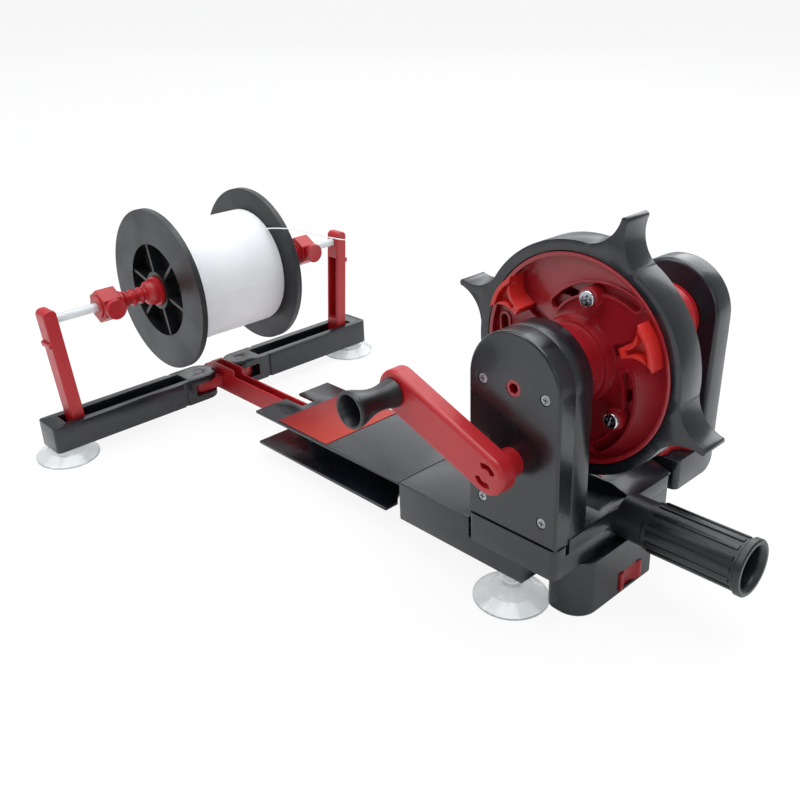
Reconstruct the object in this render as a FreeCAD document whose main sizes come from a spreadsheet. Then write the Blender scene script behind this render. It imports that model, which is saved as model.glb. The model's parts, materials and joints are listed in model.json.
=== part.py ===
# Fishing line winder: a geared winding head with a jaw chuck and a tailstock,
# and a folding stand that carries the bulk spool. Lengths are millimetres.
# Everything is drawn in the machine's own level frame: X runs from the stand to the
# hand grip, Y along the axles away from the crank, Z up, with the chuck's axis at X = 0.
# The finished pieces are then set on the floor at the slight tilt at which it stands.
import FreeCAD, Part
import math
import os

from FreeCAD import Placement, Rotation, Vector

SIZES = {
    "hub_height": 114.5, "arch_radius": 28.0, "case_wall": 2.5, "case_half": 28.7,
    "cover_front": -31.0, "frame_front": -20.0, "frame_back": -7.0, "cover_foot": 35.5,
    "tub_foot": 18.7, "seam_height": 30.0, "deck_top": 38.0, "deck_end": 71.0,
    "guide_start": 33.6, "guide_top": 41.9, "guide_half": 15.5, "case_corner": 4.0,
    "cover_edge": 1.5, "running_gap": 0.05, "part_gap": 0.3,
    "gear_module": 1.25, "crank_teeth": 38, "chuck_teeth": 24, "gear_front": -18.5,
    "gear_width": 6.0, "tooth_play": 0.25, "tooth_tip": 1.0, "tooth_root": 1.4,
    "axle_radius": 4.4, "axle_front": -30.7, "axle_end": 28.0, "socket_flats": 5.0,
    "socket_depth": 12.0, "shaft_radius": 4.0, "crank_boss": 7.5,
    "case_screw_x": 19.0, "case_screw_top": 114.2, "case_screw_low": 48.3,
    "case_screw_head": 2.6, "case_screw_shank": 1.3, "case_post": 2.6,
    "crank_face": -50.7, "crank_back": -41.0, "crank_half": 10.9, "crank_end": 11.5,
    "knob_x": -62.0, "knob_rise": 24.25, "window_inner": 3.6, "window_outer": 6.6,
    "window_depth": 3.0, "knob_length": 29.0, "knob_neck": 7.6, "knob_mouth": 10.0,
    "knob_root": 8.6, "knob_bore": 6.4, "knob_pin": 3.0, "knob_pin_head": 5.0,
    "cup_radius": 55.0, "cup_rim": 14.45, "cup_floor": 18.0, "cup_thick": 2.4,
    "cup_wall": 2.2, "hub_base": 23.0, "hub_tip": 17.5, "hub_front": -6.4,
    "spiral_inner": 29.7, "spiral_outer": 47.5, "spiral_start": 117.6, "spiral_sweep": 70.2,
    "spiral_width": 5.0, "spiral_rim": 1.4, "rim_height": 1.0, "chuck_screw_at": 35.5,
    "chuck_screw_turn": 77.0, "chuck_boss": 5.5, "chuck_boss_height": 4.6,
    "chuck_screw_head": 4.2, "chuck_screw_thick": 1.8,
    "jaw_turn": 24.6, "jaw_prow": 35.7, "jaw_outer": 52.3, "jaw_half": 11.5,
    "jaw_tip_half": 2.5, "jaw_front": 6.0, "jaw_travel": 12.0, "jaw_neck": 5.6,
    "jaw_pin": 2.2, "jaw_pin_at": 42.0, "jaw_finger": 33.0, "jaw_finger_inner": 33.6,
    "jaw_hollow": 2.4, "slot_play": 0.2,
    "ring_inner": 55.6, "ring_outer": 61.0, "ring_end": 31.5, "ring_turn": 60.0,
    "arm_reach": 80.0, "arm_tip_half": 1.8, "arm_root_half": 14.0, "arm_turn": 71.7, "arm_waist": 67.4,
    "arm_waist_half": 4.6, "arm_tip_drop": 1.2, "arm_root_sink": 1.6,
    "scroll_front": 21.0, "scroll_thick": 2.6, "scroll_bore": 17.0, "washer_radius": 20.4,
    "scoop_gap": 0.8, "deck_floor": 1.0, "scoop_front": 3.0,
    "tail_front": 101.0, "tail_thick": 16.0, "tail_foot_front": 77.0, "tail_foot_end": 115.0,
    "tail_foot_top": 41.9, "tail_foot_low": 23.5, "tail_base_half": 26.0,
    "tongue_half": 10.0, "tongue_low": 27.5, "tongue_top": 32.0, "tongue_start": 6.0,
    "tongue_rail": 7.5, "tongue_rail_top": 37.0, "tongue_rail_start": 43.0,
    "tail_dome": 19.3, "tail_dome_back": 100.5, "tail_nose": 82.0,
    "lever_x": 13.3, "lever_y": 81.0, "lever_eye": 6.4, "lever_thick": 3.8, "lever_screw": 2.4,
    "grip_y": 30.0, "grip_z": 30.0, "grip_radius": 13.8, "grip_bore": 10.6,
    "grip_start": 50.0, "grip_end": 99.5, "grip_neck": 8.0, "collar_start": 41.5,
    "collar_radius": 12.6, "grip_rim": 15.0, "flute_count": 14, "flute_radius": 1.5,
    "leg_left": 8.4, "leg_right": 33.0, "leg_near": -6.0, "leg_far": 50.0,
    "leg_corner": 11.0, "leg_scoop": 17.0, "catch_near": 20.5, "catch_far": 39.5,
    "catch_low": -11.8, "catch_top": -1.0, "catch_travel": 2.5, "catch_deep": 6.0,
    "channel_half": 30.7, "box_left": -82.0, "box_right": 8.0, "box_low": 7.0,
    "box_top": 31.0, "plate_left": -218.6, "plate_thick": 2.0, "low_plate_left": -218.0,
    "low_plate_right": -99.0, "notch_end": -201.5, "notch_half": 5.3, "guide_wall": 0.9,
    "label_left": -195.0, "label_right": -147.0, "label_half": 29.6, "label_thick": 0.4,
    "rail_half": 4.5, "rail_wall": 1.5, "rail_low": 12.8, "rail_left": -325.0,
    "rail_right": -150.0, "rail_top": 27.2, "rail_head_top": 32.3,
    "stand_x": -308.0, "fold_pin": 18.0, "fold_pin_radius": 3.0, "lug_radius": 9.0,
    "lug_low": 16.0, "lug_top": 24.0, "bar_half": 12.0, "bar_end": 135.0, "bar_low": 10.9,
    "bar_top": 28.9, "groove_near": 35.0, "groove_far": 38.0, "groove_deep": 1.0,
    "slot_half": 6.5, "slot_near": 31.5, "slot_far": 124.0, "slot_low": 17.0,
    "upright_pin": 114.0, "upright_pin_height": 22.6, "upright_pin_radius": 2.0,
    "upright_half": 6.0, "upright_depth": 4.5, "upright_rise": 8.0, "upright_lean": 4.5,
    "upright_wall": 1.8, "hook_drop": 15.0, "hook_thick": 4.0, "hook_deep": 2.2, "cradle_drop": 5.0, "cradle_rise": 1.6, "cradle_reach": 8.2,
    "rod_radius": 3.0, "rod_height": 97.0, "rod_half": 110.0, "collar_flats": 23.0,
    "left_collar": -88.0, "left_collar_end": -71.0, "right_collar": 77.0,
    "right_collar_end": 101.0, "thumb_radius": 6.0, "thumb_reach": 16.5,
    "cone_tip": 36.0, "cone_flange": 10.0, "spool_radius": 55.5, "spool_half": 41.0,
    "flange_thick": 4.0, "recess_radius": 32.0, "barrel_radius": 34.0, "spool_bore": 10.4,
    "spool_hub": 13.0, "web_at": 30.0, "spool_ribs": 6, "rib_thick": 2.2,
    "wire_size": 2.6, "wind_radius": 41.0, "wind_loops": 23, "line_size": 0.8,
    "cup_rim_radius": 20.6, "cup_lip": 1.3, "cup_stem": 5.0, "stand_cup_y": 124.0,
    "near_cup_x": -6.0, "near_cup_y": -22.0,
    "stance_rise": 0.0489, "floor_drop": -12.2,
}

doc = FreeCAD.newDocument("LineWinder")
sheet = doc.addObject("Spreadsheet::Sheet", "Sizes")


class Size:
    """A length with its number and the formula by which the sheet gives it."""

    def __init__(self, number, formula):
        self.number = float(number)
        self.formula = formula

    def __float__(self):
        return self.number

    def __add__(self, other):
        return Size(self.number + float(other), f"({self.formula} + {words(other)})")

    def __radd__(self, other):
        return Size(float(other) + self.number, f"({words(other)} + {self.formula})")

    def __sub__(self, other):
        return Size(self.number - float(other), f"({self.formula} - {words(other)})")

    def __rsub__(self, other):
        return Size(float(other) - self.number, f"({words(other)} - {self.formula})")

    def __mul__(self, other):
        return Size(self.number * float(other), f"({self.formula} * {words(other)})")

    __rmul__ = __mul__

    def __truediv__(self, other):
        return Size(self.number / float(other), f"({self.formula} / {words(other)})")

    def __neg__(self):
        return Size(-self.number, f"(0 - {self.formula})")


def words(value):
    """The formula of a size, or a plain number written out."""
    if isinstance(value, Size):
        return value.formula
    if value < 0:
        return f"(0 - {abs(float(value)):.9f})"
    return f"{float(value):.9f}"


class Sheet:
    """The sheet's sizes by name."""


s = Sheet()
for row, (alias, number) in enumerate(SIZES.items(), 1):
    sheet.set(f"A{row}", alias)
    sheet.set(f"B{row}", str(number))
    sheet.setAlias(f"B{row}", alias)
    setattr(s, alias, Size(number, f"Sizes.{alias}"))
doc.recompute()

X, Y, Z = Vector(1, 0, 0), Vector(0, 1, 0), Vector(0, 0, 1)
ALONG = {"X": Rotation(Y, 90), "Y": Rotation(X, -90), "Z": Rotation()}
FACING = {"X": Rotation(Vector(1, 1, 1), 120), "Y": Rotation(X, 90), "Z": Rotation()}
THROUGH = "through"


def bind(item, prop, value):
    """Gives a property its number, and the formula where it has one."""
    if isinstance(value, Size):
        item.setExpression(prop, value.formula)
    else:
        item.setExpression(prop, words(value))


def set_at(item, x, y, z):
    for name, value in zip("xyz", (x, y, z)):
        bind(item, f"Placement.Base.{name}", value)


def box(x0, x1, y0, y1, z0, z1):
    item = doc.addObject("Part::Box", "Block")
    bind(item, "Length", x1 - x0)
    bind(item, "Width", y1 - y0)
    bind(item, "Height", z1 - z0)
    set_at(item, x0, y0, z0)
    return item


def point_on(axis, along, u, v):
    """A point from its place along an axis and its two other coordinates."""
    return {"X": (along, u, v), "Y": (u, along, v), "Z": (u, v, along)}[axis]


def cylinder(axis, start, end, radius, u, v):
    item = doc.addObject("Part::Cylinder", "Round")
    item.Placement = Placement(Vector(), ALONG[axis])
    bind(item, "Radius", radius)
    bind(item, "Height", end - start)
    set_at(item, *point_on(axis, start, u, v))
    return item


def prism(axis, start, end, flats, u, v):
    """A hexagonal bar, by its width across flats."""
    item = doc.addObject("Part::Prism", "Hexagon")
    item.Placement = Placement(Vector(), ALONG[axis])
    item.Polygon = 6
    bind(item, "Circumradius", flats / math.sqrt(3))
    bind(item, "Height", end - start)
    set_at(item, *point_on(axis, start, u, v))
    return item


def join(*items):
    item = doc.addObject("Part::MultiFuse", "Joined")
    item.Shapes = list(items)
    return item


def cut(base, *tools):
    item = doc.addObject("Part::Cut", "Cut")
    item.Base = base
    item.Tool = tools[0] if len(tools) == 1 else join(*tools)
    return item


def common(first, second):
    item = doc.addObject("Part::Common", "Shared")
    item.Base = first
    item.Tool = second
    return item


def feature(shape, name="Formed"):
    item = doc.addObject("Part::Feature", name)
    item.Shape = shape
    return item


def draw(sketch, loops):
    """Draws closed loops: a list of corners, where THROUGH marks a point on an arc
    between its neighbours, or a circle as ("circle", u, v, radius)."""
    import Sketcher
    rule = Sketcher.Constraint
    for loop in loops:
        if loop[0] == "circle":
            u, v, radius = loop[1:]
            centre = Vector(float(u), float(v), 0)
            edge = sketch.addGeometry(Part.Circle(centre, Z, float(radius)), False)
            hold(sketch, rule("Radius", edge, float(radius)), radius)
            hold(sketch, rule("DistanceX", -1, 1, edge, 3, float(u)), u)
            hold(sketch, rule("DistanceY", -1, 1, edge, 3, float(v)), v)
            continue
        corners = [point for point in loop if THROUGH not in point]
        edges = []
        for number, point in enumerate(loop):
            if THROUGH in point:
                continue
            after = loop[(number + 1) % len(loop)]
            start = Vector(float(point[0]), float(point[1]), 0)
            if THROUGH in after:
                last = loop[(number + 2) % len(loop)]
                middle = Vector(float(after[0]), float(after[1]), 0)
                end = Vector(float(last[0]), float(last[1]), 0)
                edge = sketch.addGeometry(Part.Arc(start, middle, end), False)
            else:
                end = Vector(float(after[0]), float(after[1]), 0)
                edge = sketch.addGeometry(Part.LineSegment(start, end), False)
            first = 1 if (sketch.getPoint(edge, 1) - start).Length < 1e-6 else 2
            edges.append((edge, first))
        for number, (edge, first) in enumerate(edges):
            before, its_first = edges[number - 1]
            sketch.addConstraint(rule("Coincident", before, 3 - its_first, edge, first))
            u, v = corners[number][:2]
            hold(sketch, rule("DistanceX", -1, 1, edge, first, float(u)), u)
            hold(sketch, rule("DistanceY", -1, 1, edge, first, float(v)), v)


def hold(sketch, constraint, value):
    number = sketch.addConstraint(constraint)
    if isinstance(value, Size):
        sketch.setExpression(f"Constraints[{number}]", value.formula)


def sketch_on(axis, along, *loops):
    """A sketch that faces along an axis: X draws in Y and Z, Y in X and Z, Z in X and Y."""
    sketch = doc.addObject("Sketcher::SketchObject", "Outline")
    sketch.Placement = Placement(Vector(), FACING[axis])
    set_at(sketch, *point_on(axis, along, 0, 0))
    draw(sketch, loops)
    return sketch


def extrude(axis, start, end, *loops):
    """A bar of a drawn section, from start to end along an axis."""
    item = doc.addObject("Part::Extrusion", "Bar")
    item.Base = sketch_on(axis, start, *loops)
    item.DirMode = "Custom"
    item.Dir = {"X": X, "Y": Y, "Z": Z}[axis]
    item.Solid = True
    bind(item, "LengthFwd", end - start)
    return item


def turned(axis, u, v, profile):
    """A turned solid about a line along an axis; the profile lists (along, radius)."""
    item = doc.addObject("Part::Revolution", "Turned")
    if axis == "Y":
        sketch = doc.addObject("Sketcher::SketchObject", "Profile")
        sketch.Placement = Placement(Vector(), Rotation())
        set_at(sketch, u, 0, v)
        draw(sketch, [[(point[1], point[0], *point[2:]) for point in profile]])
    elif axis == "X":
        sketch = doc.addObject("Sketcher::SketchObject", "Profile")
        sketch.Placement = Placement(Vector(), Rotation())
        set_at(sketch, 0, u, v)
        draw(sketch, [profile])
    else:
        sketch = doc.addObject("Sketcher::SketchObject", "Profile")
        sketch.Placement = Placement(Vector(), Rotation(X, 90))
        set_at(sketch, u, v, 0)
        draw(sketch, [[(point[1], point[0], *point[2:]) for point in profile]])
    item.Source = sketch
    item.Axis = {"X": X, "Y": Y, "Z": Z}[axis]
    item.Base = Vector(*(float(value) for value in point_on(axis, 0, u, v)))
    item.Angle = 360
    item.Solid = True
    return item


def rounded(item, radius, chosen):
    """Rounds the edges that a test picks out."""
    doc.recompute()
    numbers = [n for n, edge in enumerate(item.Shape.Edges, 1) if chosen(edge)]
    fillet = doc.addObject("Part::Fillet", "Rounded")
    fillet.Base = item
    fillet.Edges = [(number, float(radius), float(radius)) for number in numbers]
    return fillet


def polar(radius, degrees, y=0.0):
    """A point about the chuck's axis: degrees count from +X towards +Z."""
    angle = math.radians(float(degrees))
    return Vector(float(radius) * math.cos(angle), float(y),
                  float(s.hub_height) + float(radius) * math.sin(angle))


def prism_of(points, start, end):
    """A solid from an outline in the plane across the chuck's axis; a point marked
    THROUGH lies on the arc between its neighbours."""
    edges = []
    for number, point in enumerate(points):
        if THROUGH in point:
            continue
        after = points[(number + 1) % len(points)]
        if THROUGH in after:
            last = points[(number + 2) % len(points)]
            edges.append(Part.Arc(point[0], after[0], last[0]).toShape())
        else:
            edges.append(Part.LineSegment(point[0], after[0]).toShape())
    face = Part.Face(Part.Wire(edges))
    face.translate(Y * float(start))
    return face.extrude(Y * float(end - start))


nodes = {}


def node(name, item):
    """Names a finished piece; a plain primitive is wrapped, so that it can be set down."""
    if item.TypeId in ("Part::Box", "Part::Cylinder"):
        holder = doc.addObject("Part::Compound", "Piece")
        holder.Links = [item]
        item = holder
    item.Label = name
    nodes[name] = item


# Derived places

crank_height = s.hub_height - s.gear_module * (s.crank_teeth + s.chuck_teeth) / 2
cavity_half = s.arch_radius - s.case_wall - 0.2
knob_height = crank_height + s.knob_rise
floor_slope = math.degrees(math.atan(float(s.stance_rise)))
upright_top = s.rod_height + s.upright_rise
cradle_low = s.rod_height - s.cradle_drop
cradle_top = s.rod_height + s.cradle_rise


def floor_at(x):
    """The floor's height below a place on the level machine."""
    return s.floor_drop - s.stance_rise * x


def arch(half, low, top_centre, radius):
    """An upright outline with a round top."""
    side = math.sqrt(max(float(radius) ** 2 - float(half) ** 2, 0.0))
    return [(-half, low), (half, low), (half, top_centre + side),
            (0.0, top_centre + radius, THROUGH), (-half, top_centre + side)]


# Head casings

def arm_room(wall):
    """The room that the ring's arms sweep, grown by a wall."""
    return cylinder("Y", s.cup_rim - s.scoop_front - wall, s.guide_start + wall,
                    s.arm_reach + s.scoop_gap + wall, 0, s.hub_height)


def base_tub():
    """Open tub with an upstand in front, closed above by the deck."""
    front = s.cover_front - 0.5
    shell = box(-s.case_half, s.case_half, front, s.deck_end, s.tub_foot, s.seam_height)
    upstand = box(-s.case_half, s.case_half, front, s.frame_front - 0.2,
                  s.tub_foot, s.cover_foot)
    outer = rounded(join(shell, upstand), s.case_corner, lambda edge: upright_corner(edge))
    inner = box(-s.case_half + s.case_wall, s.case_half - s.case_wall,
                s.frame_front + 0.5, s.deck_end - s.case_wall,
                s.tub_foot + s.case_wall, s.seam_height + 1)
    mouth = box(-s.tongue_half - s.part_gap, s.tongue_half + s.part_gap,
                s.deck_end - s.case_wall - 1, s.deck_end + 1,
                s.tongue_low - s.part_gap, s.seam_height + 1)
    node("base_tub", cut(outer, inner, mouth, arm_room(0)))


def upright_corner(edge):
    """True for a straight vertical edge."""
    ends = [vertex.Point for vertex in edge.Vertexes]
    return len(ends) == 2 and abs(abs((ends[1] - ends[0]).normalize().z) - 1) < 1e-6


def head_frame():
    """Deck with the gearbox's rear pillar and the tailstock's guide block."""
    deck = box(-s.case_half, s.case_half, s.frame_front, s.deck_end,
               s.seam_height, s.deck_top)
    deck = rounded(deck, s.case_corner, lambda edge: upright_corner(edge) and edge.CenterOfMass.y > 0)
    pillar = extrude("Y", s.frame_front, s.frame_back,
                     arch(s.arch_radius, s.seam_height, s.hub_height, s.arch_radius))
    block = extrude("Y", s.guide_start, s.deck_end,
                    [(-s.arch_radius, s.deck_top - 1), (s.arch_radius, s.deck_top - 1),
                     (s.arch_radius, s.deck_top), (s.guide_half, s.guide_top),
                     (-s.guide_half, s.guide_top), (-s.arch_radius, s.deck_top)])
    cavity = extrude("Y", s.frame_front - 1, s.frame_back - s.case_wall,
                     arch(cavity_half, s.cover_foot + s.case_wall, s.hub_height, cavity_half))
    posts = []
    for x, z in screw_places():
        posts.append(cylinder("Y", s.frame_front + 0.3, s.frame_back - 1, s.case_post, x, z))
    shaft_boss = cylinder("Y", s.gear_front + s.gear_width + s.part_gap, s.frame_back - 1,
                          s.shaft_radius + 3, 0, crank_height)
    axle_boss = cylinder("Y", s.gear_front + s.gear_width + s.part_gap, s.frame_back - 1,
                         s.axle_radius + 3, 0, s.hub_height)
    inside = s.case_half - s.case_wall - s.part_gap
    under_arms = common(arm_room(s.deck_floor),
                        box(-inside, inside, s.frame_back, s.deck_end - s.case_wall,
                            s.tub_foot + s.case_wall, s.deck_top - 1))
    slot = box(-s.tongue_half - s.part_gap, s.tongue_half + s.part_gap,
               s.tongue_start - 7, s.deck_end + 1, s.tongue_low - s.part_gap,
               s.tongue_top + s.part_gap)
    open_slot = box(-s.tongue_rail - s.part_gap, s.tongue_rail + s.part_gap,
                    s.guide_start + 1.5, s.deck_end + 1, s.tongue_top, s.guide_top + 1)
    axle_hole = cylinder("Y", s.frame_front, s.frame_back + 1, s.axle_radius + s.running_gap,
                         0, s.hub_height)
    shaft_hole = cylinder("Y", s.frame_front, s.frame_back - 1.2,
                          s.shaft_radius + s.running_gap, 0, crank_height)
    screw_holes = [cylinder("Y", s.frame_front, s.frame_back - 3,
                            s.case_screw_shank + 0.02, x, z) for x, z in screw_places()]
    shell = cut(join(deck, pillar, block, under_arms), cavity, arm_room(0), slot, open_slot)
    node("head_frame", cut(join(shell, shaft_boss, axle_boss, *posts),
                           axle_hole, shaft_hole, *screw_holes))


def screw_places():
    x = s.case_screw_x
    return [(-x, s.case_screw_top), (x, s.case_screw_top),
            (-x, s.case_screw_low), (x, s.case_screw_low)]


def gearbox_cover():
    """Arched front cover: a padded outline, its hollow pocketed from behind."""
    body = doc.addObject("PartDesign::Body", "CoverBody")
    outline = body_sketch(body, s.frame_front, arch(s.arch_radius, s.cover_foot, s.hub_height,
                                                    s.arch_radius))
    pad = body.newObject("PartDesign::Pad", "CoverPad")
    pad.Profile = outline
    bind(pad, "Length", s.frame_front - s.cover_front)
    hollow = body_sketch(body, s.cover_front + s.case_wall,
                         arch(cavity_half, s.cover_foot + s.case_wall, s.hub_height, cavity_half))
    pocket = body.newObject("PartDesign::Pocket", "CoverHollow")
    pocket.Profile = hollow
    bind(pocket, "Length", s.frame_front - s.cover_front)
    holes = body_sketch(body, s.cover_front - 1,
                        ("circle", 0.0, s.hub_height, s.axle_radius + s.running_gap),
                        ("circle", 0.0, crank_height, s.crank_boss + s.running_gap),
                        *[("circle", x, z, s.case_screw_shank + 0.02)
                          for x, z in screw_places()])
    bores = body.newObject("PartDesign::Pocket", "CoverBores")
    bores.Profile = holes
    bind(bores, "Length", s.case_wall + 2)
    seats = body_sketch(body, s.cover_front - 1,
                        *[("circle", x, z, s.case_screw_head + 0.4)
                          for x, z in screw_places()])
    recess = body.newObject("PartDesign::Pocket", "ScrewRecesses")
    recess.Profile = seats
    bind(recess, "Length", 1 + s.case_wall * 0.6)
    doc.recompute()
    front = [f"Edge{n}" for n, edge in enumerate(recess.Shape.Edges, 1)
             if on_front_outline(edge)]
    soft = body.newObject("PartDesign::Fillet", "CoverEdge")
    soft.Base = (recess, front)
    bind(soft, "Radius", s.cover_edge)
    node("gearbox_cover", body)


def on_front_outline(edge):
    """True for the edges round the cover's front face."""
    limits = edge.BoundBox
    front = float(s.cover_front)
    wide = limits.XLength > float(s.arch_radius) or limits.ZLength > float(s.arch_radius)
    return abs(limits.YMin - front) < 1e-4 and abs(limits.YMax - front) < 1e-4 and wide


def body_sketch(body, along, *loops):
    """A sketch on the body's own upright plane, moved along Y."""
    plane = [item for item in body.Origin.OriginFeatures if item.Role == "XZ_Plane"][0]
    sketch = body.newObject("Sketcher::SketchObject", "BodyOutline")
    sketch.AttachmentSupport = [(plane, "")]
    sketch.MapMode = "FlatFace"
    bind(sketch, "AttachmentOffset.Base.z", -along)
    draw(sketch, loops)
    return sketch


def gearbox_screws():
    screws = []
    seat = s.cover_front + s.case_wall * 0.6
    for x, z in screw_places():
        head = cylinder("Y", seat - 1.2, seat, s.case_screw_head, x, z)
        shank = cylinder("Y", seat - 0.2, s.frame_back - 3.2, s.case_screw_shank, x, z)
        cross = [box(x - 1.5, x + 1.5, seat - 1.7, seat - 0.5, z - 0.35, z + 0.35),
                 box(x - 0.35, x + 0.35, seat - 1.7, seat - 0.5, z - 1.5, z + 1.5)]
        screws.append(cut(join(head, shank), *cross))
    compound = doc.addObject("Part::Compound", "Screws")
    compound.Links = screws
    node("gearbox_screws", compound)


# Gear train

def gear(teeth, axle_bore, centre_height, first_tooth):
    """A spur gear with flanks drawn through the root, the pitch line and the tip."""
    pitch = float(s.gear_module) * teeth / 2
    root = pitch - float(s.tooth_root)
    tip = pitch + float(s.tooth_tip)
    step = 2 * math.pi / teeth
    half_pitch = (math.pi * float(s.gear_module) / 2 - float(s.tooth_play)) / pitch / 2
    lean = math.tan(math.radians(20))
    half_root = half_pitch + (pitch - root) * lean / pitch * 0.9
    half_tip = half_pitch - (tip - pitch) * lean / pitch * 1.15
    corners = []
    for number in range(teeth):
        middle = first_tooth + number * step
        for radius, angle in ((root, -half_root), (pitch, -half_pitch), (tip, -half_tip),
                              (tip, half_tip), (pitch, half_pitch), (root, half_root)):
            corners.append(Vector(radius * math.cos(middle + angle), 0,
                                  float(centre_height) + radius * math.sin(middle + angle)))
    blank = Part.Face(Part.makePolygon(corners + corners[:1]))
    blank.translate(Y * float(s.gear_front))
    solid = blank.extrude(Y * float(s.gear_width))
    bore = Part.makeCylinder(float(axle_bore), float(s.gear_width) + 2,
                             Vector(0, float(s.gear_front) - 1, float(centre_height)), Y)
    return feature(solid.cut(bore), "Gear")


def gears_and_axles():
    chuck_teeth = round(float(s.chuck_teeth))
    crank_teeth = round(float(s.crank_teeth))
    facing_tooth = math.pi / 2
    facing_gap = -math.pi / 2 + math.pi / chuck_teeth
    node("crank_gear", gear(crank_teeth, s.shaft_radius, crank_height, facing_tooth))
    node("chuck_gear", gear(chuck_teeth, s.axle_radius, s.hub_height, facing_gap))
    axle = cylinder("Y", s.axle_front, s.axle_end, s.axle_radius, 0, s.hub_height)
    socket = prism("Y", s.axle_front - 1, s.axle_front + s.socket_depth, s.socket_flats,
                   0, s.hub_height)
    node("chuck_axle", cut(axle, socket))
    washer_front = s.scroll_front + s.scroll_thick + s.part_gap
    washer = cylinder("Y", washer_front, washer_front + 1.6, s.washer_radius, 0, s.hub_height)
    washer_bore = cylinder("Y", washer_front - 1, washer_front + 3, s.axle_radius,
                           0, s.hub_height)
    node("chuck_washer", cut(washer, washer_bore))
    shaft_end = s.frame_back - 1.4
    node("crank_shaft", cylinder("Y", s.crank_back, shaft_end, s.shaft_radius,
                                 0, crank_height))


# Crank

def crank():
    """Flat arm with a round end at the knob and a boss that runs in the cover."""
    reach = math.hypot(float(s.knob_x), float(s.knob_rise))
    way = math.degrees(math.atan2(float(s.knob_rise), float(s.knob_x)))
    inner, outer = float(s.crank_half), float(s.crank_end)
    outline = [Vector(0, 0, -inner), Vector(reach, 0, -outer), Vector(reach + outer, 0, 0),
               Vector(reach, 0, outer), Vector(0, 0, inner), Vector(-inner, 0, 0)]
    edges = [Part.LineSegment(outline[0], outline[1]).toShape(),
             Part.Arc(outline[1], outline[2], outline[3]).toShape(),
             Part.LineSegment(outline[3], outline[4]).toShape(),
             Part.Arc(outline[4], outline[5], outline[0]).toShape()]
    face = Part.Face(Part.Wire(edges))
    plate = face.extrude(Y * float(s.crank_back - s.crank_face))
    front = [edge for edge in plate.Edges if edge.BoundBox.YMax < 1e-6]
    plate = plate.makeFillet(2.6, front)
    for middle in (90, -90):
        plate = plate.cut(ring_sector(s.window_inner, s.window_outer, middle, 100,
                                      -1, float(s.window_depth)))
    plate.rotate(Vector(), Y, -way)
    plate.translate(Vector(0, float(s.crank_face), float(crank_height)))
    boss = Part.makeCylinder(float(s.crank_boss), float(s.cover_front + s.case_wall - s.crank_back),
                             Vector(0, float(s.crank_back), float(crank_height)), Y)
    bore = Part.makeCylinder(float(s.shaft_radius), 30,
                             Vector(0, float(s.crank_back), float(crank_height)), Y)
    pin_hole = Part.makeCylinder(float(s.knob_pin), 30,
                                 Vector(float(s.knob_x), float(s.crank_face) - 1,
                                        float(knob_height)), Y)
    node("crank_arm", feature(plate.fuse(boss).cut(bore).cut(pin_hole), "Arm"))


def ring_sector(inner, outer, middle, sweep, start, end):
    """Part of a flat ring about the origin, across Y."""
    low = math.radians(middle - sweep / 2)
    high = math.radians(middle + sweep / 2)
    centre = math.radians(middle)

    def at(radius, angle):
        return Vector(float(radius) * math.cos(angle), 0, float(radius) * math.sin(angle))

    edges = [Part.Arc(at(outer, low), at(outer, centre), at(outer, high)).toShape(),
             Part.LineSegment(at(outer, high), at(inner, high)).toShape(),
             Part.Arc(at(inner, high), at(inner, centre), at(inner, low)).toShape(),
             Part.LineSegment(at(inner, low), at(outer, low)).toShape()]
    face = Part.Face(Part.Wire(edges))
    face.translate(Y * start)
    return face.extrude(Y * (end - start))


def knob():
    """Hourglass knob, open at its mouth, held by the head of its pin."""
    near = s.crank_face - s.part_gap
    far = near - s.knob_length
    ledge = near - s.knob_length * 0.6
    waist = near - s.knob_length * 0.42
    profile = [(near, s.knob_pin + s.running_gap), (near, s.knob_root),
               (waist, s.knob_neck, THROUGH), (far + 4, s.knob_mouth - 0.3),
               (far + 3, s.knob_mouth), (far, s.knob_mouth), (far, s.knob_bore),
               (ledge, s.knob_bore), (ledge, s.knob_pin + s.running_gap)]
    node("crank_knob", turned("Y", s.knob_x, knob_height, profile))
    pin = cylinder("Y", ledge - 2.4, s.crank_back, s.knob_pin, s.knob_x, knob_height)
    head = cylinder("Y", ledge - 2.4, ledge - s.part_gap, s.knob_pin_head,
                    s.knob_x, knob_height)
    node("knob_pin", join(pin, head))


# Chuck

def arc_slot(start, end, width, front, back):
    """A curved slot along the arc from one (radius, degrees) to another."""
    middle = ((float(start[0]) + float(end[0])) / 2, (float(start[1]) + float(end[1])) / 2)
    a, b, c = (polar(*place) for place in (start, middle, end))
    circle = Part.Arc(a, b, c).toShape().Curve
    half = float(width) / 2

    def beside(point, side):
        return circle.Center + (point - circle.Center).normalize() * (circle.Radius + side * half)

    def cap(point, before):
        onward = (point - before).normalize()
        radial = (point - circle.Center).normalize()
        tangent = (onward - radial * onward.dot(radial)).normalize()
        return point + tangent * half

    outline = [(beside(a, 1),), (beside(b, 1), THROUGH), (beside(c, 1),),
               (cap(c, b), THROUGH), (beside(c, -1),), (beside(b, -1), THROUGH),
               (beside(a, -1),), (cap(a, b), THROUGH)]
    return prism_of(outline, front, back)


def radial_bar(inner, outer, half, front, back, degrees):
    """A bar along a radius of the chuck."""
    bar = Part.makeBox(float(outer - inner), float(back - front), 2 * float(half),
                       Vector(float(inner), float(front), -float(half)))
    bar.rotate(Vector(), Y, -float(degrees))
    bar.translate(Z * float(s.hub_height))
    return bar


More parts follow.
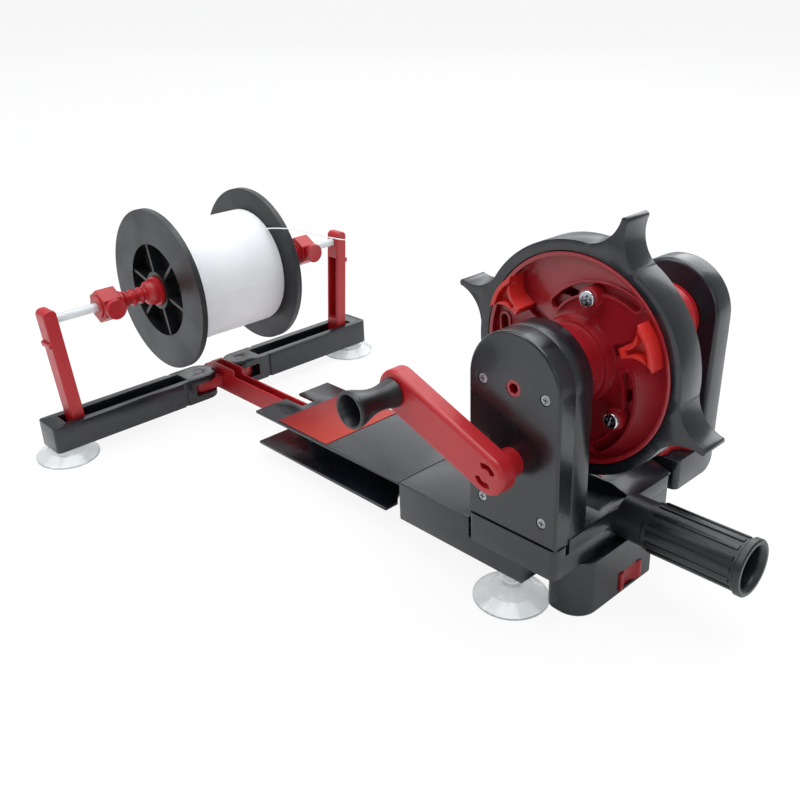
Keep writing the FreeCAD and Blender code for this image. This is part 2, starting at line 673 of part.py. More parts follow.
def chuck_cup():
    """Shallow cup turned with its hub, then pierced by spiral and jaw slots."""
    back = s.cup_floor + s.cup_thick
    profile = [(s.hub_front, s.axle_radius), (s.hub_front, s.hub_tip),
               (s.hub_front + 7, s.hub_tip + 0.8), (s.hub_front + 7, s.hub_tip + 2.4),
               (s.cup_floor - 6, s.hub_tip + 3), (s.cup_floor - 6, s.hub_base - 0.8),
               (s.cup_floor, s.hub_base), (s.cup_floor, s.cup_radius - s.cup_wall),
               (s.cup_rim, s.cup_radius - s.cup_wall), (s.cup_rim, s.cup_radius),
               (back, s.cup_radius), (back, s.axle_radius)]
    cup = turned("Y", 0, s.hub_height, profile)
    doc.recompute()
    solid = cup.Shape
    for third in range(3):
        turn = 120 * third
        start = (s.spiral_inner, s.spiral_start + turn)
        end = (s.spiral_outer, s.spiral_start - s.spiral_sweep + turn)
        rim = arc_slot(start, end, s.spiral_width + 2 * s.spiral_rim,
                       s.cup_floor - s.rim_height, s.cup_floor + 1)
        slot = arc_slot(start, end, s.spiral_width, s.cup_floor - 3, back + 1)
        boss_at = polar(s.chuck_screw_at, s.chuck_screw_turn + turn,
                        s.cup_floor - s.chuck_boss_height)
        boss = Part.makeCylinder(float(s.chuck_boss), float(back - s.cup_floor + s.chuck_boss_height),
                                 boss_at, Y)
        jaw_slot = radial_bar(s.hub_base + 0.6, s.jaw_pin_at + 8.5, (s.jaw_neck + s.slot_play * 2) / 2,
                              s.cup_floor - 3, back + 1, s.jaw_turn + turn)
        solid = solid.fuse(rim).cut(slot).fuse(boss).cut(jaw_slot)
    node("chuck_cup", feature(solid, "Cup"))
    screws = []
    for third in range(3):
        seat = polar(s.chuck_screw_at, s.chuck_screw_turn + 120 * third,
                     s.cup_floor - s.chuck_boss_height - s.chuck_screw_thick)
        head = Part.makeCylinder(float(s.chuck_screw_head), float(s.chuck_screw_thick), seat, Y)
        head = head.makeFillet(0.9, [edge for edge in head.Edges
                                     if edge.BoundBox.YMax < seat.y + 1e-6])
        for turn in (0, 90):
            blade = Part.makeBox(5.0, 1.2, 1.0, Vector(-2.5, -0.2, -0.5))
            blade.rotate(Vector(), Y, turn + 20)
            blade.translate(seat)
            head = head.cut(blade)
        screws.append(head)
    node("chuck_screws", feature(Part.makeCompound(screws), "ChuckScrews"))


def jaw(name, degrees):
    """Hollow wedge in front, a neck in the cup's slot, a pin in the scroll and a finger
    that grips behind."""
    inner, outer, half = float(s.jaw_prow), float(s.jaw_outer), float(s.jaw_half)
    tip = float(s.jaw_tip_half)
    flank = Vector((inner + outer) / 2 + 1.5, 0, 0)

    def wedge(shrink, front, back):
        a, b = inner + shrink * 1.6, outer - shrink
        outline = [(Vector(a, 0, -tip + shrink * 0.5),), (Vector(a, 0, tip - shrink * 0.5),),
                   (Vector(flank.x, 0, tip + 2.4 - shrink), THROUGH),
                   (Vector(b - 2.4, 0, half - shrink),),
                   (Vector(b, 0, 0), THROUGH), (Vector(b - 2.4, 0, -half + shrink),),
                   (Vector(flank.x, 0, -tip - 2.4 + shrink), THROUGH)]
        return prism_of(outline, front, back)

    seat = s.cup_floor - s.part_gap
    block = wedge(0.0, s.jaw_front, seat)
    hollow = wedge(float(s.jaw_hollow) * 0.9, s.jaw_front - 1, s.cup_floor - 7)
    block = block.cut(hollow)
    finger_front = s.scroll_front + s.scroll_thick + s.part_gap
    neck = Part.makeBox(11, float(s.cup_floor + s.cup_thick - seat) + 0.3, float(s.jaw_neck),
                        Vector(float(s.jaw_pin_at) - 6, float(seat), -float(s.jaw_neck) / 2))
    pin = Part.makeCylinder(float(s.jaw_pin), float(finger_front - s.cup_floor),
                            Vector(float(s.jaw_pin_at), float(s.cup_floor), 0), Y)
    finger = Part.makeBox(12.5, float(s.jaw_finger - finger_front), 7,
                          Vector(float(s.jaw_finger_inner), float(finger_front), -3.5))
    finger = finger.makeChamfer(2.5, [edge for edge in finger.Edges
                                      if edge.BoundBox.YMin > float(s.jaw_finger) - 1e-6
                                      and edge.BoundBox.XMax < float(s.jaw_finger_inner) + 1e-6])
    solid = block.fuse([neck, pin, finger])
    solid.rotate(Vector(), Y, -float(degrees))
    solid.translate(Z * float(s.hub_height))
    node(name, feature(solid, "Jaw"))


def grip_ring():
    """Ring with four flared arms; the scroll plate turns with it."""
    depth = (s.cup_rim, s.ring_end)
    ring = Part.makeCylinder(float(s.ring_outer), float(depth[1] - depth[0]),
                             polar(0, 0, depth[0]), Y)
    for quarter in range(4):
        way = float(s.arm_turn) + 90 * quarter
        reach, tip = float(s.arm_reach), float(s.arm_tip_half)
        root, drop = float(s.ring_outer - s.arm_root_sink), float(s.arm_tip_drop)
        waist, waist_half = float(s.arm_waist), float(s.arm_waist_half)
        points = [(Vector(root, 0, -float(s.arm_root_half)),),
                  (Vector(waist, 0, -waist_half), THROUGH), (Vector(reach - drop, 0, -tip),),
                  (Vector(reach, 0, 0), THROUGH), (Vector(reach - drop, 0, tip),),
                  (Vector(waist, 0, waist_half), THROUGH),
                  (Vector(root, 0, float(s.arm_root_half)),)]
        arm = prism_of(points, depth[0], depth[1])
        arm.rotate(Vector(), Y, -way)
        arm.translate(Z * float(s.hub_height))
        ring = ring.fuse(arm)
    bore = Part.makeCylinder(float(s.ring_inner), 60, polar(0, 0, 0), Y)
    node("grip_ring", feature(ring.cut(bore), "Ring"))
    plate = Part.makeCylinder(float(s.ring_inner), float(s.scroll_thick),
                              polar(0, 0, s.scroll_front), Y)
    plate = plate.cut(Part.makeCylinder(float(s.scroll_bore), 20,
                                        polar(0, 0, s.scroll_front - 5), Y))
    for third in range(3):
        turn = float(s.jaw_turn) + 120 * third
        start = (s.jaw_pin_at, turn)
        end = (s.jaw_pin_at - s.jaw_travel, turn - float(s.ring_turn))
        plate = plate.cut(arc_slot(start, end, 2 * s.jaw_pin + 2 * s.slot_play,
                                   s.scroll_front - 1, s.scroll_front + s.scroll_thick + 1))
    node("scroll_plate", feature(plate, "Scroll"))


# Tailstock

def tailstock():
    back = s.tail_front + s.tail_thick
    outline = [(-s.tail_base_half, s.tail_foot_top), (s.tail_base_half, s.tail_foot_top),
               (s.arch_radius, s.hub_height), (0.0, s.hub_height + s.arch_radius, THROUGH),
               (-s.arch_radius, s.hub_height)]
    pillar = extrude("Y", s.tail_front, back, outline)
    pillar = rounded(pillar, s.cover_edge, lambda edge: edge.BoundBox.YLength < 1e-4
                     and edge.BoundBox.ZMax > float(s.tail_foot_top) + 1)
    bore = cylinder("Y", s.tail_front - 1, back - s.case_wall, s.axle_radius + s.running_gap,
                    0, s.hub_height)
    node("tail_pillar", cut(pillar, bore))
    foot = extrude("X", -s.case_half, s.case_half,
                   [(s.tail_foot_front, s.tail_foot_low), (s.tail_foot_end - 9, s.tail_foot_low),
                    (s.tail_foot_end - 2.6, s.tail_foot_low + 2.6, THROUGH),
                    (s.tail_foot_end, s.tail_foot_low + 9), (s.tail_foot_end, s.tail_foot_top),
                    (s.tail_foot_front, s.tail_foot_top)])
    foot = rounded(foot, s.case_corner, lambda edge: upright_corner(edge)
                   and edge.CenterOfMass.y < float(s.tail_foot_front) + 1)
    low = box(-s.tongue_half, s.tongue_half, s.tail_foot_front - 1, s.tail_front,
              s.tongue_low, s.tongue_top)
    high = box(-s.tongue_rail, s.tongue_rail, s.tail_foot_front - 1, s.tail_front,
               s.tongue_top - 1, s.tongue_rail_top)
    lever_hole = cylinder("Z", s.tail_foot_top - 6, s.tail_foot_top + 1, s.lever_screw,
                          s.lever_x, s.lever_y)
    node("tail_foot", cut(foot, join(low, high), lever_hole))
    tongue = box(-s.tongue_half, s.tongue_half, s.tongue_start, s.tail_front,
                 s.tongue_low, s.tongue_top)
    rail = box(-s.tongue_rail, s.tongue_rail, s.tongue_rail_start, s.tail_front,
               s.tongue_top - 1, s.tongue_rail_top)
    lever_relief = cylinder("Z", s.tail_foot_top - 6.2, s.tail_foot_top, s.lever_screw + 0.2,
                            s.lever_x, s.lever_y)
    node("tail_tongue", cut(join(tongue, rail), lever_relief))
    profile = [(s.tail_dome_back, s.axle_radius), (s.tail_dome_back, s.tail_dome),
               (s.tail_dome_back - 3, s.tail_dome),
               (s.tail_nose + 5, s.tail_dome * 0.62, THROUGH), (s.tail_nose, 5.0),
               (s.tail_nose, s.axle_radius)]
    node("tail_centre", turned("Y", 0, s.hub_height, profile))
    node("tail_axle", cylinder("Y", s.tail_nose, back - s.case_wall - 0.4, s.axle_radius,
                               0, s.hub_height))


def lock_lever():
    """S-shaped lever on a screw."""
    low = s.tail_foot_top + s.part_gap
    high = low + s.lever_thick
    x, y = float(s.lever_x), float(s.lever_y)
    eye = Part.makeCylinder(float(s.lever_eye), float(s.lever_thick), Vector(x, y, float(low)), Z)
    a, b, c = Vector(x - 5.6, y + 3, 0), Vector(x - 2.4, y + 8.5, 0), Vector(x + 6.4, y + 14.6, 0)
    d, e, f = Vector(x + 12.6, y + 15.4, 0), Vector(x + 13.6, y + 11.8, 0), Vector(x + 8.6, y + 9.8, 0)
    g, i = Vector(x + 6.4, y + 6.2, 0), Vector(x + 6.2, y + 1.0, 0)
    edges = [Part.Arc(a, b, c).toShape(), Part.LineSegment(c, d).toShape(),
             Part.LineSegment(d, e).toShape(), Part.LineSegment(e, f).toShape(),
             Part.Arc(f, g, i).toShape(), Part.LineSegment(i, a).toShape()]
    blade = Part.Face(Part.Wire(edges))
    blade.translate(Z * float(low))
    blade = blade.extrude(Z * float(s.lever_thick))
    hole = Part.makeCylinder(float(s.lever_screw) + float(s.running_gap), 20,
                             Vector(x, y, float(low) - 5), Z)
    node("lock_lever", feature(eye.fuse(blade).cut(hole), "Lever"))
    shank = cylinder("Z", s.tail_foot_top - 6, high + s.part_gap, s.lever_screw,
                     s.lever_x, s.lever_y)
    head = cylinder("Z", high + s.part_gap, high + s.part_gap + 2, s.lever_screw + 1.7,
                    s.lever_x, s.lever_y)
    slot = box(s.lever_x - 3, s.lever_x + 3, s.lever_y - 0.5, s.lever_y + 0.5,
               high + s.part_gap + 1.2, high + s.part_gap + 3)
    node("lever_screw", cut(join(shank, head), slot))


# Grip and foot

def grip():
    neck = [(s.case_half, 0.0), (s.case_half, s.grip_neck), (s.collar_start - 2, s.grip_neck),
            (s.collar_start, s.collar_radius), (s.grip_start - 3, s.collar_radius),
            (s.grip_start, s.collar_radius - 2), (s.grip_start, 0.0)]
    node("grip_neck", turned("X", s.grip_y, s.grip_z, neck))
    tube = [(s.grip_start, 0.0), (s.grip_start, s.grip_radius - 1), (s.grip_start + 2, s.grip_radius),
            (s.grip_end - 9, s.grip_radius), (s.grip_end - 4, s.grip_rim),
            (s.grip_end - 1, s.grip_rim), (s.grip_end, s.grip_rim - 1), (s.grip_end, s.grip_bore),
            (s.grip_start + 4, s.grip_bore), (s.grip_start + 4, 0.0)]
    handle = turned("X", s.grip_y, s.grip_z, tube)
    doc.recompute()
    solid = handle.Shape
    count = round(float(s.flute_count))
    for number in range(count):
        angle = 2 * math.pi * number / count
        out = float(s.grip_radius) + float(s.flute_radius) * 0.55
        start = Vector(float(s.grip_start) + 7, float(s.grip_y) + out * math.cos(angle),
                       float(s.grip_z) + out * math.sin(angle))
        length = float(s.grip_end - s.grip_start) - 20
        flute = Part.makeCylinder(float(s.flute_radius), length, start, X)
        solid = solid.cut(flute)
    node("grip_handle", feature(solid, "Handle"))


def foot_leg():
    """Leg under the tub, rounded in front, scooped on the crank side, cut off at the floor."""
    deep = floor_at(s.leg_right) - 6
    leg = box(s.leg_left, s.leg_right, s.leg_near, s.leg_far, deep, s.tub_foot)
    leg = rounded(leg, s.leg_corner, lambda edge: upright_corner(edge)
                  and edge.CenterOfMass.y < float(s.leg_near) + 1
                  and edge.CenterOfMass.x > float(s.leg_left) + 1)
    scoop = cylinder("X", s.leg_left - 1, s.leg_right + 1, s.leg_scoop,
                     s.leg_near - s.leg_scoop * 0.62, s.tub_foot - s.leg_scoop * 0.9)
    panel = box(s.leg_right - 0.8, s.leg_right + 1, s.leg_near + 13, s.leg_far - 5,
                floor_at(s.leg_right) + 14.5, s.tub_foot - 4)
    nest = box(s.leg_right - s.catch_deep - s.catch_travel - 1, s.leg_right + 1,
               s.catch_near - s.part_gap, s.catch_far + s.part_gap,
               s.catch_low - s.part_gap, s.catch_top + s.part_gap)
    node("foot_leg", cut(leg, scoop, panel, nest, under_floor()))
    catch = box(s.leg_right - s.catch_deep, s.leg_right + 1.2, s.catch_near, s.catch_far,
                s.catch_low, s.catch_top)
    dip = cylinder("Z", s.catch_low - 1, s.catch_top + 1, 12.0,
                   s.leg_right + 10.6, (s.catch_near + s.catch_far) / 2)
    node("foot_catch", cut(catch, dip))
    spring_at = ((s.catch_near + s.catch_far) / 2, (s.catch_low + s.catch_top) / 2)
    node("catch_spring", cylinder("X", s.leg_right - s.catch_deep - s.catch_travel - 1,
                                  s.leg_right - s.catch_deep - s.catch_travel - 0.2,
                                  3.0, *spring_at))


def under_floor():
    """A large block whose top is the floor."""
    block = Part.makeBox(900, 600, 60, Vector(-600, -300, -60))
    block.rotate(Vector(), Y, floor_slope)
    block.translate(Z * float(s.floor_drop))
    return feature(block, "Floor")


def suction_cup(name, x, y, top):
    """Clear cup that stands square on the floor, its stem cut off at what it carries."""
    rim, lip, stem = float(s.cup_rim_radius), float(s.cup_lip), float(s.cup_stem)
    tall = float(top - floor_at(x)) + 3
    rise = min(tall - 4, 7.0)
    outline = [Vector(0, 0, rise - lip), Vector(rim * 0.55, 0, rise * 0.62 - lip * 0.5),
               Vector(rim - lip, 0, 0), Vector(rim, 0, 0), Vector(rim, 0, lip * 0.6),
               Vector(rim * 0.6, 0, rise * 0.62 + lip), Vector(stem + 2, 0, rise + lip * 0.6),
               Vector(stem, 0, rise + 2), Vector(stem, 0, tall), Vector(0, 0, tall)]
    face = Part.Face(Part.makePolygon(outline + outline[:1]))
    solid = face.revolve(Vector(), Z, 360)
    solid.rotate(Vector(), Y, floor_slope)
    solid.translate(Vector(float(x), float(y), float(floor_at(x))))
    lid = Part.makeBox(80, 80, 40, Vector(float(x) - 40, float(y) - 40, float(top)))
    node(name, feature(solid.cut(lid), "Cup"))


# Channel

def channel():
    half, wall = s.channel_half, s.plate_thick
    tall = box(s.box_left, -s.case_half - 0.2, -half, half, s.box_low, s.box_top)
    low = box(-s.case_half - 1, s.box_right, -half, half, s.box_low, s.tub_foot)
    inner = box(s.box_left - 1, s.box_right - wall, -half + wall, half - wall,
                s.box_low + wall, s.tub_foot - wall)
    inner_tall = box(s.box_left - 1, -s.case_half - 0.2 - wall, -half + wall, half - wall,
                     s.box_low + wall, s.box_top - wall)
    node("channel_box", cut(join(tall, low), inner, inner_tall))
    plate = box(s.plate_left, s.box_left, -half, half, s.box_top + 0.2 - wall, s.box_top + 0.2)
    notch = box(s.plate_left - 1, s.notch_end, -s.notch_half, s.notch_half,
                s.box_top - wall - 1, s.box_top + 1)
    node("channel_top_plate", cut(plate, notch))
    low_plate = box(s.low_plate_left, s.low_plate_right + 5, -half, half,
                    s.box_low, s.box_low + wall)
    bite = cylinder("Z", s.box_low - 1, s.box_low + wall + 1, half - 4,
                    s.low_plate_right + half - 9, 0)
    node("channel_bottom_plate", cut(low_plate, bite))
    walls = []
    inside = s.rail_half + 0.25
    for side in (-1, 1):
        near = side * inside if side > 0 else -inside - s.guide_wall
        walls.append(box(s.notch_end + 1, s.box_left, near, near + s.guide_wall,
                         s.box_low + wall, s.box_top + 0.2 - wall))
    inner_end = box(s.box_left, s.box_left + 60, -inside - s.guide_wall, inside + s.guide_wall,
                    s.box_low + wall, s.rail_low - s.part_gap)
    floor = box(s.notch_end + 1, s.box_left, -inside - s.guide_wall, inside + s.guide_wall,
                s.box_low + wall, s.rail_low - s.part_gap)
    node("channel_guide", join(walls[0], walls[1], floor, inner_end))
    top = s.box_top + 0.2
    node("label_plate", box(s.label_left, s.label_right, -s.label_half, s.label_half,
                            top, top + s.label_thick))


# Stand

def rail():
    """Open-topped rail with cross ribs, a raised head and the lugs of the fold."""
    half, wall = s.rail_half, s.rail_wall
    outer = box(s.rail_left + 4, s.rail_right, -half, half, s.rail_low, s.rail_top)
    head = box(s.rail_left + 14, s.rail_left + 42, -half, half, s.rail_low, s.rail_head_top)
    nose = cylinder("Y", -half, half, s.rail_half + 2.7, s.rail_left + 7.2, s.rail_low + 7.2)
    inner = box(s.rail_left + 17, s.rail_right - wall, -half + wall, half - wall,
                s.rail_low + wall, s.rail_head_top + 1)
    blocks = [outer, head, nose]
    lugs = []
    for side in (-1, 1):
        y = side * s.fold_pin
        lugs.append(cylinder("Z", s.lug_low, s.lug_top, s.lug_radius, s.stand_x, y))
        near, far = (y, -half + 1) if side < 0 else (half - 1, y)
        lugs.append(box(s.stand_x - s.lug_radius, s.stand_x + s.lug_radius, near, far,
                        s.lug_low, s.lug_top))
    ribs = []
    span = float(s.rail_right - s.rail_left) - 30
    for number in range(6):
        x = s.rail_left + 20 + (number + 0.5) * span / 6
        ribs.append(box(x - 0.7, x + 0.7, -half + 0.5, half - 0.5, s.rail_low + 0.5, s.rail_top - 4))
    bores = [cylinder("Z", s.lug_low - 1, s.lug_top + 1, s.fold_pin_radius,
                      s.stand_x, side * s.fold_pin) for side in (-1, 1)]
    hollow = cut(join(*blocks), inner)
    node("slide_rail", cut(join(hollow, *ribs, *lugs), *bores))
    pins = doc.addObject("Part::Compound", "Pins")
    pins.Links = [cylinder("Z", s.bar_low, s.bar_top, s.fold_pin_radius, s.stand_x,
                           side * s.fold_pin) for side in (-1, 1)]
    node("fold_pins", pins)


def between(side, near, far):
    """The Y range of a piece on one side, from two distances."""
    return (near, far) if side > 0 else (-far, -near)


def bar(name, side):
    """Stand bar: a fork about its fold pin, a slot that the upright folds into."""
    x, half = s.stand_x, s.bar_half
    gap = s.part_gap
    beam = box(x - half, x + half, *between(side, s.fold_pin, s.bar_end), s.bar_low, s.bar_top)
    beam = rounded(beam, 3.0, lambda edge: upright_corner(edge)
                   and abs(edge.CenterOfMass.y) > float(s.bar_end) - 1)
    knuckle = cylinder("Z", s.bar_low, s.bar_top, half, x, side * s.fold_pin)
    fork = box(x - half - 1, x + half + 1,
               *between(side, s.fold_pin - half - 1, s.fold_pin + s.lug_radius + 0.8),
               s.lug_low - gap, s.lug_top + gap)
    pin = cylinder("Z", s.bar_low - 1, s.bar_top + 1, s.fold_pin_radius + s.running_gap,
                   x, side * s.fold_pin)
    slot = box(x - s.slot_half, x + s.slot_half, *between(side, s.slot_near, s.slot_far),
               s.slot_low, s.bar_top + 1)
    rod_from_pin = s.rod_height - s.upright_pin_height
    window = box(x - s.slot_half, x + s.slot_half,
                 *between(side, s.upright_pin - rod_from_pin - 6, s.upright_pin - rod_from_pin + 8),
                 s.bar_low - 1, s.slot_low + 1)
    grooves = []
    for face in (-1, 1):
        edge = x + face * half
        low, high = (edge - 1, edge + s.groove_deep) if face < 0 else (edge - s.groove_deep, edge + 1)
        grooves.append(box(low, high, *between(side, s.groove_near, s.groove_far),
                           s.bar_low - 1, s.bar_top + 1))
    pin_bore = cylinder("X", x - half + 1.5, x + half - 1.5, s.upright_pin_radius,
                        side * s.upright_pin, s.upright_pin_height)
    node(name, cut(join(beam, knuckle), fork, pin, slot, window, pin_bore, *grooves))


def upright(name, side):
    """Leaning post with a round foot, a hooked back and a cradle for the rod."""
    x, pin_y = s.stand_x, side * s.upright_pin
    half, depth = s.upright_half, s.upright_depth
    inner = s.upright_pin - depth
    outer = s.upright_pin + depth
    post = box(x - half, x + half, *between(side, inner, outer),
               s.upright_pin_height, upright_top)
    foot = cylinder("X", x - half, x + half, depth, pin_y, s.upright_pin_height)
    post = rounded(post, 3.4, lambda edge: edge.BoundBox.XLength > 1
                   and edge.CenterOfMass.z > float(upright_top) - 1)
    hollow = box(x - half + s.upright_wall, x + half - s.upright_wall,
                 *between(side, inner - 1, outer - s.upright_wall),
                 s.upright_pin_height + 10, cradle_low - 4)
    hook = box(x - half, x + half, *between(side, outer - 1, outer + s.hook_deep),
               s.rod_height - s.hook_drop, s.rod_height - s.hook_drop + s.hook_thick)
    cradle = box(x - half + 0.5, x + half - 0.5, *between(side, inner - s.cradle_reach, inner + 1),
                 cradle_low, cradle_top)
    bore = cylinder("X", x - half - 1, x + half + 1, s.upright_pin_radius + s.running_gap,
                    pin_y, s.upright_pin_height)
    doc.recompute()
    solid = cut(join(cut(join(post, foot), hollow), hook, cradle), bore)
    doc.recompute()
    shape = solid.Shape.copy()
    shape.rotate(Vector(float(x), float(pin_y), float(s.upright_pin_height)), X,
                 -side * float(s.upright_lean))
    leaning = feature(shape, "Leaning")
    rod_room = cylinder("Y", *between(side, s.rod_half - 12, s.rod_half + s.part_gap),
                        s.rod_radius + 0.1, x, s.rod_height)
    rise = box(x - s.rod_radius - 0.1, x + s.rod_radius + 0.1,
               *between(side, s.rod_half - 12, s.rod_half + s.part_gap),
               s.rod_height, cradle_top + 6)
    node(name, cut(leaning, rod_room, rise))


def upright_pins():
    for name, side in (("left_upright_pin", -1), ("right_upright_pin", 1)):
        node(name, cylinder("X", s.stand_x - s.bar_half + 1.5, s.stand_x + s.bar_half - 1.5,
                            s.upright_pin_radius, side * s.upright_pin, s.upright_pin_height))


def rod_and_cones():
    x, z = s.stand_x, s.rod_height
    node("axle_rod", cylinder("Y", -s.rod_half, s.rod_half, s.rod_radius, x, z))
    collars = (("left", s.left_collar, s.left_collar_end, s.left_collar + 14.3),
               ("right", s.right_collar, s.right_collar_end, s.right_collar_end - 7))
    for side, start, end, screw_y in collars:
        hexagon = prism("Y", start + 3, end - 3, s.collar_flats, x, z)
        rim = cylinder("Y", start, end, s.collar_flats / 2 - 1.5, x, z)
        hole = cylinder("Y", start - 1, end + 1, s.rod_radius, x, z)
        reach = x + s.collar_flats / 2
        screw_hole = cylinder("X", x + s.rod_radius, reach + 5, 2.0, screw_y, z)
        node(side + "_collar", cut(join(hexagon, rim), hole, screw_hole))
        shank = cylinder("X", x + s.rod_radius + 0.2, reach + 3, 2.0, screw_y, z)
        head = cylinder("X", reach + 2, x + s.thumb_reach, s.thumb_radius, screw_y, z)
        node(side + "_thumb_screw", join(shank, head))
    for side, sign, outer in (("left", -1, -s.left_collar_end - s.part_gap),
                              ("right", 1, s.right_collar - s.part_gap)):
        profile = cone_profile(sign, outer)
        node(side + "_cone", turned("Y", x, z, profile))


def cone_profile(sign, outer):
    """Ribbed cone: a taper that centres the spool, then ridges and a flange."""
    bore = s.rod_radius + s.running_gap
    start = s.spool_half + 2
    profile = [(sign * s.cone_tip, bore), (sign * s.cone_tip, s.spool_bore - 3.4),
               (sign * (s.spool_half - 0.6), s.spool_bore - 0.3), (sign * start, s.spool_bore - 0.3),
               (sign * start, s.cone_flange)]
    span = (outer - 2 - start) / 4
    for ridge in range(4):
        here = start + span * ridge
        profile.append((sign * (here + span * 0.45), s.cone_flange - 0.6))
        profile.append((sign * (here + span * 0.5), s.cone_flange - 3))
        profile.append((sign * (here + span * 0.95), s.cone_flange - 3))
    profile += [(sign * (outer - 2), s.cone_flange - 1), (sign * outer, s.cone_flange - 1),
                (sign * outer, bore)]
    return profile


def spool():
    """Bulk spool: two flanges, a hollow barrel, and ribbed recesses in its ends."""
    x, z = s.stand_x, s.rod_height
    out, inside = s.spool_half, s.spool_half - s.flange_thick
    profile = [(-out, s.recess_radius), (-out, s.spool_radius), (-inside, s.spool_radius),
               (-inside, s.barrel_radius), (inside, s.barrel_radius), (inside, s.spool_radius),
               (out, s.spool_radius), (out, s.recess_radius), (s.web_at + 2, s.recess_radius),
               (s.web_at + 2, s.spool_hub), (out, s.spool_hub), (out, s.spool_bore),
               (s.web_at, s.spool_bore), (s.web_at, s.recess_radius),
               (-s.web_at, s.recess_radius), (-s.web_at, s.spool_bore), (-out, s.spool_bore),
               (-out, s.spool_hub), (-s.web_at - 2, s.spool_hub),
               (-s.web_at - 2, s.recess_radius)]
    body = turned("Y", x, z, profile)
    doc.recompute()
    solid = body.Shape
    ribs = round(float(s.spool_ribs))
    for side in (-1, 1):
        near = (s.web_at + 1) if side > 0 else -out + 1
        for number in range(ribs):
            rib = Part.makeBox(float(s.recess_radius - s.spool_hub) + 1,
                               float(out - s.web_at) - 2, float(s.rib_thick),
                               Vector(float(s.spool_hub) - 0.5, float(near),
                                      -float(s.rib_thick) / 2))
            rib.rotate(Vector(), Y, 360 / ribs * number + 15)
            rib.translate(Vector(float(x), 0, float(z)))
            solid = solid.fuse(rib)
    node("spool", feature(solid, "Spool"))


# Line

def helix_point(turns, radius, start, pitch):
    angle = 2 * math.pi * turns
    return Vector(float(s.stand_x) + radius * math.cos(angle), start + pitch * turns,
                  float(s.rod_height) + radius * math.sin(angle))


def helix_way(turns, radius, pitch):
    angle = 2 * math.pi * turns
    return Vector(-2 * math.pi * radius * math.sin(angle), pitch,
                  2 * math.pi * radius * math.cos(angle)).normalize()


def arc_from(start, way, end):
    """The arc that leaves a point along a direction and ends at another point."""
    chord = end - start
    along = Vector(chord).normalize()
    side = way - along * way.dot(along)
    bend = math.acos(max(-1.0, min(1.0, way.dot(along))))
    middle = start + chord * 0.5 + side.normalize() * (chord.Length / 2 * math.tan(bend / 2))
    return Part.Arc(start, middle, end)


def winding():
    """The outer layer of line: one unbroken tube over a plain core."""
    loops = round(float(s.wind_loops))
    wire = float(s.wire_size)
    radius = float(s.wind_radius) - wire / 2
    inside = float(s.spool_half - s.flange_thick)
    side_gap = 0.3
    start = -inside + wire / 2 + side_gap
    pitch = (2 * inside - wire - 2 * side_gap) / loops
    edges = []
    halves = 2 * loops
    for number in range(halves):
        a, b = number / 2, (number + 1) / 2
        p0, p1 = helix_point(a, radius, start, pitch), helix_point(b, radius, start, pitch)
        t0, t1 = helix_way(a, radius, pitch), helix_way(b, radius, pitch)
        chord, ways = p1 - p0, t0 + t1
        square = 2 * (t0.dot(t1) - 1)
        linear = -2 * chord.dot(ways)
        reach = (-linear - math.sqrt(linear ** 2 - 4 * square * chord.dot(chord))) / (2 * square)
        joint = (p0 + t0 * reach + p1 - t1 * reach) * 0.5
        first = arc_from(p0, t0, joint)
        last = arc_from(p1, t1 * -1, joint)
        edges.append(first.toShape())
        edges.append(last.toShape())
    lead = helix_way(0, radius, pitch) * -wire
    tail = helix_way(loops, radius, pitch) * wire
    first, last = helix_point(0, radius, start, pitch), helix_point(loops, radius, start, pitch)
    edges.insert(0, Part.LineSegment(first + lead, first).toShape())
    edges.append(Part.LineSegment(last, last + tail).toShape())
    path = Part.Wire(Part.__sortEdges__(edges))
    section = Part.Wire(Part.Circle(first + lead, lead * -1, wire / 2).toShape())
    tube = Part.BRepOffsetAPI.MakePipeShell(path)
    tube.add(section)
    tube.build()
    tube.makeSolid()
    solid = tube.shape()
    node("line_winding", feature(solid, "Winding"))
    expected = math.pi * wire ** 2 / 4 * path.Length
    print("winding volume over section times length", round(solid.Volume / expected, 4))
    print("winding least gap to itself", round(least_gap(radius, start, pitch, loops, wire), 3))
    core = Part.makeCylinder(radius - wire / 2 - 0.02, 2 * inside - 0.02,
                             Vector(float(s.stand_x), -inside + 0.01, float(s.rod_height)), Y)
    hole = Part.makeCylinder(float(s.barrel_radius), 2 * inside + 2,
                             Vector(float(s.stand_x), -inside - 1, float(s.rod_height)), Y)
    node("line_core", feature(core.cut(hole), "Core"))


def least_gap(radius, start, pitch, loops, wire):
    """The least distance between loops, measured on points, less the wire."""
    steps = 24
    points = [helix_point(number / steps, radius, start, pitch)
              for number in range(loops * steps + 1)]
    least = 1e9
    for number, point in enumerate(points):
        for other in points[number + steps // 2:number + 2 * steps]:
            least = min(least, (point - other).Length)
    return least - wire


